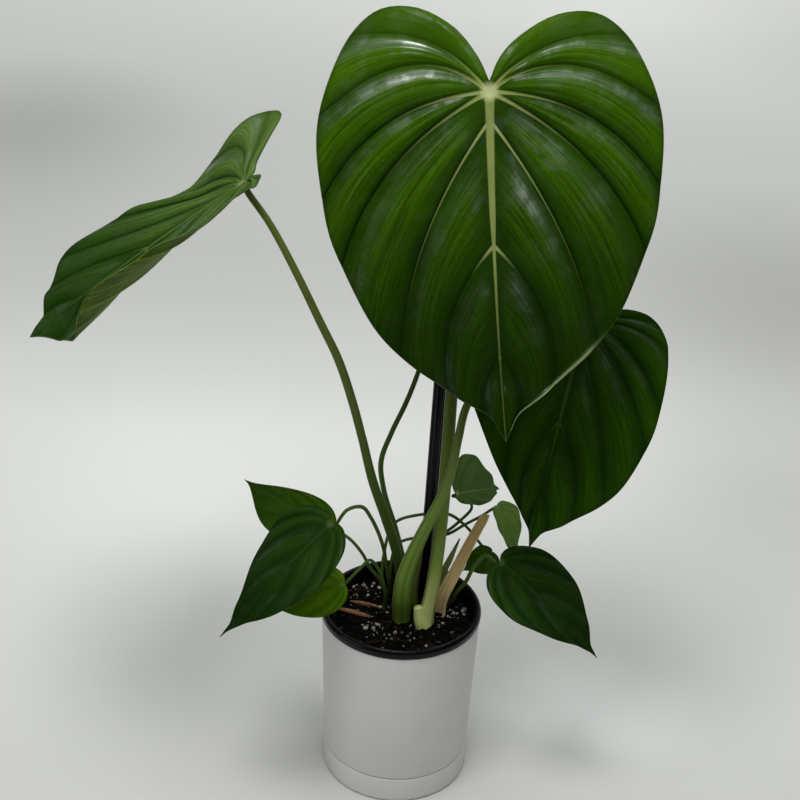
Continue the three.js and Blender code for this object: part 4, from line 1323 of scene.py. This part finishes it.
# %% Leaf underside
def leaf_underside(name, colours):
    green, light, pale = (paint(*colour) for colour in colours)
    material, start = new_material(name)
    place = object_place(start)
    vein, rib = mark(start, "vein"), mark(start, "rib")
    fibre = cloud(map_place(start, 30, 2.5), 1, 4, 0.65)
    shade = blend(cloud(place, 30, 3).step(0.3, 0.7), green, light)
    shade = blend(fibre.step(0.45, 0.7) * 0.55, shade, pale)
    shade = blend(vein.step(1.9, 0.6) * 0.65, shade, pale)
    shade = blend(rib.step(1.5, 0.8) * 0.85, shade, pale)
    skin = bump(fibre, 0.2, bump(cells(place, 1100), 0.04))
    lay_on(start, Base_Color=shade, Roughness=0.5 + 0.1 * fibre, Normal=skin, Specular_IOR_Level=0.02)
    return material


# %% Leaf finishes
FACE_COLOURS = {
    "leaf_front_face": ((12, 32, 1), (35, 65, 1), (66, 103, 3), (150, 162, 92)),
    "leaf_right_face": ((12, 34, 1), (28, 57, 2), (46, 82, 2), (74, 98, 40)),
    "leaf_left_face": ((15, 42, 2), (54, 84, 22), (98, 126, 60), (112, 136, 74)),
    "leaf_small_dark": ((13, 34, 4), (26, 52, 8), (46, 76, 16), (60, 88, 34)),
    "leaf_small_light": ((30, 56, 3), (52, 84, 6), (72, 106, 14), (84, 108, 52)),
    # painted light: this small finish is the light one above, painted lighter still
    "leaf_small_painted_light": ((54, 88, 3), (84, 124, 8), (106, 146, 18), (84, 108, 52)),
    "leaf_small_grey": ((62, 92, 40), (90, 118, 56), (108, 136, 72), (134, 154, 100)),
    "leaf_small_pale": ((90, 122, 50), (118, 150, 68), (138, 166, 84), (156, 174, 108)),
}
# each face: how rough it is; how much of its pale veins, its margin and its wax shows; how strong
# the painted shade in its grooves is; and how much painted shade darkens it towards the tip
FACE_TRAITS = {
    "leaf_front_face": (0.42, 0.85, 0.5, 1.0, 1.0, 0.8),
    "leaf_right_face": (0.45, 0.55, 0.12, 0.3, 0.7, 0.2),
    "leaf_left_face": (0.45, 0.5, 0.3, 0.9, 1.0, 0.8),
    "leaf_small_dark": (0.42, 0.28, 0.1, 0.4, 0.4, 0.8),
    "leaf_small_light": (0.5, 0.3, 0.1, 0.3, 0.4, 0.8),
    "leaf_small_painted_light": (0.5, 0.3, 0.1, 0.3, 0.4, 0.8),
    "leaf_small_grey": (0.5, 0.7, 0.15, 0.3, 0.4, 0.8),
    "leaf_small_pale": (0.5, 0.3, 0.15, 0.3, 0.3, 0.8),
}
UNDERSIDE_COLOURS = {
    "leaf_underside": ((46, 74, 6), (80, 108, 18), (164, 180, 84)),
    "leaf_small_underside": ((70, 100, 40), (96, 124, 56), (134, 156, 84)),
}
FACE_OF = {
    "front": "leaf_front_face", "right": "leaf_right_face", "left": "leaf_left_face",
    "back": "leaf_small_grey", "small_1": "leaf_small_dark", "small_2": "leaf_small_light",
    "small_3": "leaf_small_painted_light", "small_4": "leaf_small_dark", "small_5": "leaf_small_grey",
    "small_6": "leaf_small_pale", "small_7": "leaf_small_light",
}
faces = {name: leaf_face(name, colours, *FACE_TRAITS[name]) for name, colours in FACE_COLOURS.items()}
undersides = {name: leaf_underside(name, colours) for name, colours in UNDERSIDE_COLOURS.items()}
for name, blade_form in BLADES.items():
    under = "leaf_small_underside" if name.startswith("small") else "leaf_underside"
    thick_blade(name, blade_form, faces[FACE_OF[name]], undersides[under])
print("leaves", {name: count for name, count in made_triangles.items() if name.startswith("leaf")})

# %% [markdown]
# ## Petioles
# A petiole is a stalk whose section changes all the way up: swollen and pale at the foot, round
# and firm above, with the wings of its old sheath running along it. A curve with a round bevel
# cannot carry a wing, so a grid is rolled into a tube round the stalk's own line instead. Its
# rows are spaced along the line and its columns go round it.

# %% Routes
STEM_DEPTH = 12
SEAT_REACH = 9
SEAT_GAP = 0.1
# each route: places from the mix upward, and the stalk's radius there
ROUTES = {
    "front": (
        (18.4, -5, 132, 6.8), (19, -4.6, 139, 6.2), (21, -4, 152, 5.2), (24.5, -2.7, 190, 4.9),
        (26.5, 1, 232, 4.8), (27.5, 5, 276, 4.6), (28, 9.5, 322, 4.4), (28.5, 13, 375, 4.2),
        (31, 16, 433, 3.9), (35, 17, 486, 3.5),
    ),
    "right": (
        (0.6, -2, 132, 6.8), (0, -6, 152, 7), (1, -8, 171, 6.5), (5, -9, 190, 5.6), (14, -11, 218, 4.7),
        (24, -13, 245, 4), (30.5, -13, 270, 3.4), (34, -8, 292, 3), (39.5, 4, 314, 2.8),
        (56, 20, 332, 2.8), (82, 32, 349, 2.8),
    ),
    "left": (
        (1.3, 22, 132, 4.4), (-1, 20, 152, 4), (-6, 18.5, 180, 3.7), (-14, 16.5, 207, 3.6),
        (-25.5, 14, 243, 3.4), (-33.5, 12, 277, 3.1), (-42, 9, 311, 3.1), (-52, 5, 344, 3),
        (-65, 0, 375, 2.8), (-79, -3, 407, 2.6), (-92, -1, 432, 2.4), (-101, 1, 447, 2.3),
    ),
    "back": (
        (2.4, 41, 132, 2.6), (0, 40, 155, 2.3), (-6.5, 42, 182, 2.1), (-17, 44, 216, 2), (-20, 46, 240, 2),
        (-13, 50, 263, 1.9), (-4, 55, 284, 1.9), (3, 61, 303, 1.8), (9, 69, 323, 1.7), (15, 75, 338, 1.6),
    ),
    "small_1": (
        (-8.9, 31, 132, 1.9), (-10, 16, 154, 1.5), (-12, 12, 167, 1.5), (-16, 2, 195, 1.4),
        (-25, -14, 228, 1.4), (-32, -24, 243, 1.4), (-42, -33, 245, 1.3),
    ),
    "small_2": (
        (-11, 20.5, 132, 1.7), (-12, 10, 147, 1.4), (-17, 6, 161, 1.3), (-24, 2, 173, 1.3),
        (-31, -4, 191, 1.2), (-41, -8, 206, 1.2),
    ),
    "small_3": (
        (-12.5, 9, 132, 1.5), (-13, 0, 156, 1.2), (-18, -6, 178, 1.2), (-25, -12, 190, 1.2),
        (-31, -18, 187, 1.1),
    ),
    "small_4": (
        (34.5, 16, 132, 1.9), (41, 8, 151, 1.6), (47, 2, 165, 1.5), (53, -6, 187, 1.5), (60, -13, 199, 1.4),
    ),
    "small_5": (
        (-3.9, 45.7, 132, 1.5), (1, 47.5, 156, 1.2), (13, 49, 163, 1.2), (30.5, 51, 175.5, 1.2),
        (42, 53, 186, 1.2), (50.5, 55, 197, 1.1), (47, 53, 206, 1.1),
    ),
    "small_6": (
        (-10, 48, 132, 1.5), (-5, 56, 160, 1.2), (9, 59, 165, 1.2), (22, 58, 167, 1.2), (34, 53, 174, 1.2),
        (46, 47, 187, 1.1), (58, 43, 198, 1.1),
    ),
    "small_7": (
        (-16, 41, 132, 1.5), (-15, 47, 156, 1.2), (-8, 52, 182, 1.2), (12, 55, 189, 1.2), (33, 51, 193, 1.2),
        (46, 42, 189, 1.1), (58, 33, 179, 1.1),
    ),
}


# %% From route to seat
def with_foot(route):
    """The foot of a stalk runs straight down into the mix."""
    x, y, z, radius = route[0]
    return ((x, y, z - STEM_DEPTH, radius), *route)


def with_seat(route, blade):
    """The head of a stalk turns in behind the sinus of its blade and meets it there."""
    _, along, face, _ = axes_of(blade)
    half = math.radians(blade["bend"]) / 2
    normal = face * math.cos(half) - along * math.sin(half)
    radius = route[-1][3]
    below = blade["sinus"] - normal * SEAT_REACH * min(1, radius / 2)
    seat = blade["sinus"] - normal * (BLADE_THICKNESS / 2 + SEAT_GAP)
    return (*route, (*below, radius), (*seat, radius * 0.9))


# %% Roll a grid into a stalk
def carried_frames(line):
    """Along a line: its direction, a vector across it that starts out along X, and its front."""
    ahead = np.gradient(line, axis=0)
    ahead /= np.linalg.norm(ahead, axis=1)[:, None]
    across = np.empty_like(ahead)
    carried = np.array([1.0, 0, 0])
    for i, direction in enumerate(ahead):
        carried = carried - (carried @ direction) * direction
        carried /= np.linalg.norm(carried)
        across[i] = carried
    return across, np.cross(across, ahead)


def stalk_line(route, rows_per_span):
    """A smooth line through a route, with a radius that changes evenly from knot to knot."""
    route = np.array(route, float)
    line = through(route, rows_per_span, 0.25)
    knots = np.linspace(0, len(route) - 1, len(line))
    return line[:, :3], np.interp(knots, np.arange(len(route)), route[:, 3])


def stalk_mesh(name, route, sides, rows_per_span, section):
    """section(angle, height) gives how far out a point is, in radii, across and to the front."""
    centre, radius = stalk_line(route, rows_per_span)
    across, front = carried_frames(centre)
    mesh, around, up = flat_grid(name, sides, len(centre) - 1)
    row = np.round(up * (len(centre) - 1)).astype(int)
    share = by_length(centre)[row]
    wide, deep = section(2 * math.pi * around, centre[row, 2])
    sideways = across[row] * (wide * radius[row])[:, None]
    forward = front[row] * (deep * radius[row])[:, None]
    move_points(mesh, centre[row] + sideways + forward)
    length = np.linalg.norm(np.diff(centre, axis=0), axis=1).sum()
    put_uv(mesh, "stalk", around, share * length)
    put_corners(mesh, share=share)
    return welded(mesh, caps=True)


# %% Sections
SHEATH_OPEN_BELOW = 250
SHEATH_OPENS_OVER = 70
FLANGE_TOP = 212
FLANGE_FADE = 30
FLANGE_FOOT = 132
FLANGE_RISE = 14


def bulge(angle, centre, width):
    """1 at an angle and 0 away from it, with the given width in radians."""
    away = (angle - centre + math.pi) % (2 * math.pi) - math.pi
    return np.exp(-((away / width) ** 2))


def plain_section(flat, ridge):
    """A round or flattened stalk with a weak furrow in front between two weak ridges."""
    def section(angle, height):
        lips = bulge(angle, 0.9, 0.25) + bulge(angle, 2.2, 0.25)
        out = 1 + ridge * lips - ridge * bulge(angle, 1.55, 0.5)
        return out * np.cos(angle), out * np.sin(angle) * flat
    return section


def sheath_section(flat, wing):
    """A stalk still wrapped in its sheath low down: a furrow in front and a thin wing on its right."""
    def section(angle, height):
        open_here = smooth((SHEATH_OPEN_BELOW - height) / SHEATH_OPENS_OVER)
        rise = smooth((height - FLANGE_FOOT) / FLANGE_RISE)
        flange = wing * smooth((FLANGE_TOP - height) / FLANGE_FADE) * rise
        furrow = 0.16 * open_here * bulge(angle, 1.35, 0.2)
        lips = 0.07 * (bulge(angle, 1.05, 0.16) + bulge(angle, 1.75, 0.16))
        out = 1 - furrow + lips + flange * bulge(angle, -0.25, 0.12)
        return out * np.cos(angle), out * np.sin(angle) * flat
    return section


# %% [markdown]
# The colour of a stalk runs from a pale, almost yellow foot to a dark olive green, with fine
# stripes along it and a scatter of pale flecks. Reading the stripes off the tube's own map keeps
# them parallel to the stalk wherever it bends. Painted shade darkens both edges of a stalk, and a
# painted highlight runs down its left one.


# %% Stalk finish
HIGHLIGHT_PLACE = 0.46
HIGHLIGHT_WIDTH = 0.022
SIDE_SHADE_WIDTH = 0.1
WING_PLACE = 0.96
WING_WIDTH = 0.03
STALK_HIGH = 160
STALK_PAINTED_SHADE = paint(26, 42, 8)
STALK_FLECK = paint(150, 164, 104)
EDGE_HIGHLIGHT = paint(150, 158, 96)
WING_DRY = paint(92, 84, 44)


def stalk_finish(name, colours, foot_top, pale_to, highlight, wing):
    """Colours from the foot up, then the strengths of a painted highlight down the left edge and of a dry
    wing on the right; painted shade darkens the stalk beside both.
    """
    low, middle, high = (paint(*colour) for colour in colours)
    material, start = new_material(name)
    place = object_place(start)
    height = place.node("ShaderNodeSeparateXYZ", {}, {"Vector": place}, "Z") * 1000
    spot = start.node("ShaderNodeUVMap", {"uv_map": "stalk"})
    round_it = spot.node("ShaderNodeSeparateXYZ", {}, {"Vector": spot}, "X")
    stripe = cloud(stretched(start, spot, (26, 0.02, 1)), 1, 3, 0.6)
    flecks = cells(stretched(start, spot, (30, 0.45, 1)), 1).step(0.22, 0.1)
    shade = blend(height.step(foot_top, pale_to), low, middle)
    shade = blend(height.step(pale_to, pale_to + STALK_HIGH), shade, high)
    shade = blend(stripe.step(0.35, 0.75) * 0.5, shade, middle)
    shade = blend(flecks * 0.3, shade, STALK_FLECK)
    # painted shade round a painted highlight down the left edge, and painted shade along the right edge
    from_highlight = round_it - HIGHLIGHT_PLACE
    shade = blend((from_highlight * from_highlight).step(SIDE_SHADE_WIDTH**2, 0) * 0.55, shade, STALK_PAINTED_SHADE)
    shade = blend((from_highlight * from_highlight).step(HIGHLIGHT_WIDTH**2, 0) * highlight, shade, EDGE_HIGHLIGHT)
    from_wing = round_it - WING_PLACE
    shade = blend((from_wing * from_wing).step(SIDE_SHADE_WIDTH**2, 0) * 0.5, shade, STALK_PAINTED_SHADE)
    dry_wing = (from_wing * from_wing).step(WING_WIDTH**2, 0) * height.step(148, 160) * height.step(215, 205)
    shade = blend(dry_wing * wing, shade, WING_DRY)
    rough = 0.42 + 0.12 * stripe
    lay_on(start, Base_Color=shade, Roughness=rough, Normal=bump(stripe, 0.12), Specular_IOR_Level=0.12)
    return material


# each finish: its colours, where its foot's colour ends and its next one is full, its painted highlight and
# its wing
STALK_FINISHES = {
    "front": (((186, 194, 124), (108, 130, 52), (62, 78, 16)), 146, 192, 0.9, 0),
    "right": (((84, 110, 32), (102, 128, 52), (100, 118, 60)), 134, 180, 0.7, 0.8),
    "left": (((40, 60, 16), (60, 80, 24), (86, 102, 42)), 134, 200, 0.4, 0),
    "thin": (((62, 86, 30), (72, 96, 40), (62, 88, 34)), 134, 160, 0, 0),
}
SECTIONS = {
    "front": plain_section(1, 0.05),
    "right": sheath_section(0.78, 0.8),
    "left": plain_section(1, 0.04),
}
stalks = {name: stalk_finish("stalk_" + name, *values) for name, values in STALK_FINISHES.items()}
print("stalk finishes", ", ".join(stalks))

# %% Build the stalks
# the pale foot of the front stalk bends forward in a short stub
FOOT_STUB = (
    (17.4, -7, 124, 6.4), (16.6, -8, 131, 6.3), (14.6, -8.4, 137, 5.2), (13, -7.9, 143.5, 3.9),
    (12.5, -7.5, 147, 3.3), (12.4, -7.4, 147.8, 2.2),
)

for name, route in ROUTES.items():
    young = name.startswith("small")
    full_route = with_foot(with_seat(route, BLADES[name]))
    sides, rows = (20, 9) if young or name == "back" else (48, 16)
    section = SECTIONS.get(name, plain_section(1, 0.03))
    mesh = stalk_mesh("petiole_" + name, full_route, sides, rows, section)
    if name == "front":
        stub = stalk_mesh("stub", FOOT_STUB, 32, 8, plain_section(1, 0))
        mesh = gathered("petiole_front", [mesh, stub])
    finish = stalks.get(name, stalks["thin"])
    slot = "petiole_young" if young else "petiole"
    finished("stalk_" + name, mesh, [finish], ["petiole_" + name], slot)
print("stalks", {name: count for name, count in made_triangles.items() if name.startswith("stalk")})

# %% [markdown]
# ## Scale leaves
# Each new leaf is born in a scale leaf that opens, dries and stays behind. The old one here is a
# tan trough, folded lengthways and torn at its top; the fresh one is a green spike whose point has
# browned. The trough is an open grid bent round the same kind of line as a stalk, then thickened.

# %% Dry scale leaf
TAN_ROUTE = (
    (28.4, 4, 132, 4.3), (30, 4, 148, 4.1), (37, 4.5, 167, 3.9), (48, 6, 196, 3.3), (57, 8, 217, 2.9),
    (60, 8.5, 223, 1.8),
)
TAN_FLAT = 0.62
TAN_WRAP = math.radians(240)
TAN_OPENING = math.radians(112)
TAN_WIDER = 1.22
TAN_INSET = 0.35
TAN_WALL = 0.6
TAN_LENGTH = 110


def between_rows(table, at):
    """Reads a table at places that may lie between its rows."""
    rows = np.arange(len(table))
    return np.stack([np.interp(at, rows, column) for column in table.T], 1)


def dry_scale():
    """A trough along its route, open to one side, creased lengthways and torn at the top."""
    centre, radius = stalk_line(with_foot(TAN_ROUTE), 16)
    across, front = carried_frames(centre)
    mesh, around, up = flat_grid("scale_dry", 36, len(centre) - 1)
    ragged = np.array([noise.noise((5 * a, 0.3, 8.1)) for a in around])
    torn = 1 - 0.05 * smooth((up - 0.8) / 0.2) * (1 + 1.5 * ragged + 1.2 * (0.6 - around))
    at = np.clip(up * torn, 0, 1) * (len(centre) - 1)
    angle = TAN_OPENING + (math.tau - TAN_WRAP) / 2 + TAN_WRAP * around
    crease = 1 + 0.1 * bulge(angle, 1.5 * math.pi, 0.3) - 0.06 * np.cos(9 * angle)
    out = (np.interp(at, np.arange(len(radius)), radius) - TAN_INSET) * crease * TAN_WIDER
    points = between_rows(centre, at) + between_rows(across, at) * (out * np.cos(angle))[:, None]
    points += between_rows(front, at) * (out * TAN_FLAT * np.sin(angle))[:, None]
    move_points(mesh, points)
    put_uv(mesh, "stalk", around, up * TAN_LENGTH)
    put_corners(mesh, share=up)
    return welded(mesh)


def dry_scale_finish():
    material, start = new_material("dry_scale_leaf")
    spot = start.node("ShaderNodeUVMap", {"uv_map": "stalk"})
    share = mark(start, "share")
    stripe = cloud(stretched(start, spot, (16, 0.02, 1)), 1, 4, 0.65)
    blotch = cloud(stretched(start, spot, (3, 0.05, 1)), 1, 3)
    shade = blend(stripe.step(0.3, 0.7), paint(212, 184, 128), paint(244, 226, 174))
    shade = blend(blotch.step(0.5, 0.75) * 0.5, shade, paint(168, 168, 96))
    shade = blend(share.step(0.35, 0) * 0.6, shade, paint(230, 208, 184))
    shade = blend(share.step(0.4, 0.75) * 0.6, shade, paint(184, 154, 84))
    shade = blend(share.step(0.93, 1) * 0.6, shade, paint(116, 82, 46))
    lay_on(start, Base_Color=shade, Roughness=0.62 - 0.1 * stripe, Normal=bump(stripe, 0.35))
    return material


dry_piece = finished("scale_leaf_dry", dry_scale(), [dry_scale_finish()], ["cataphyll_tan"], "scale_tan")
wall = dry_piece.modifiers.new("wall", "SOLIDIFY")
wall.thickness = TAN_WALL * MM
wall.offset = 0
print("dry scale leaf", made_triangles["scale_leaf_dry"], "triangles a side")

# %% Fresh scale leaf
GREEN_ROUTE = ((28, 17, 132, 3), (29, 15, 159, 2.9), (35, 14.5, 177, 2.3), (41, 14.5, 195, 0.5))


def fresh_scale_finish():
    material, start = new_material("fresh_scale_leaf")
    spot = start.node("ShaderNodeUVMap", {"uv_map": "stalk"})
    share = mark(start, "share")
    stripe = cloud(stretched(start, spot, (20, 0.03, 1)), 1, 4, 0.6)
    shade = blend(stripe.step(0.3, 0.7), paint(84, 104, 44), paint(124, 136, 76))
    shade = blend(share.step(0.86, 0.97), shade, paint(58, 42, 26))
    lay_on(start, Base_Color=shade, Roughness=0.5, Normal=bump(stripe, 0.2))
    return material


green_mesh = stalk_mesh("scale_leaf_fresh", with_foot(GREEN_ROUTE), 32, 14, plain_section(0.7, 0.12))
finished("scale_leaf_fresh", green_mesh, [fresh_scale_finish()], ["cataphyll_green"], "scale_green")

# %% [markdown]
# ## Triangles
# The last cell adds up the triangles of all the pieces that were made.

# %% Triangles in all
print("triangles in all", sum(made_triangles.values()))
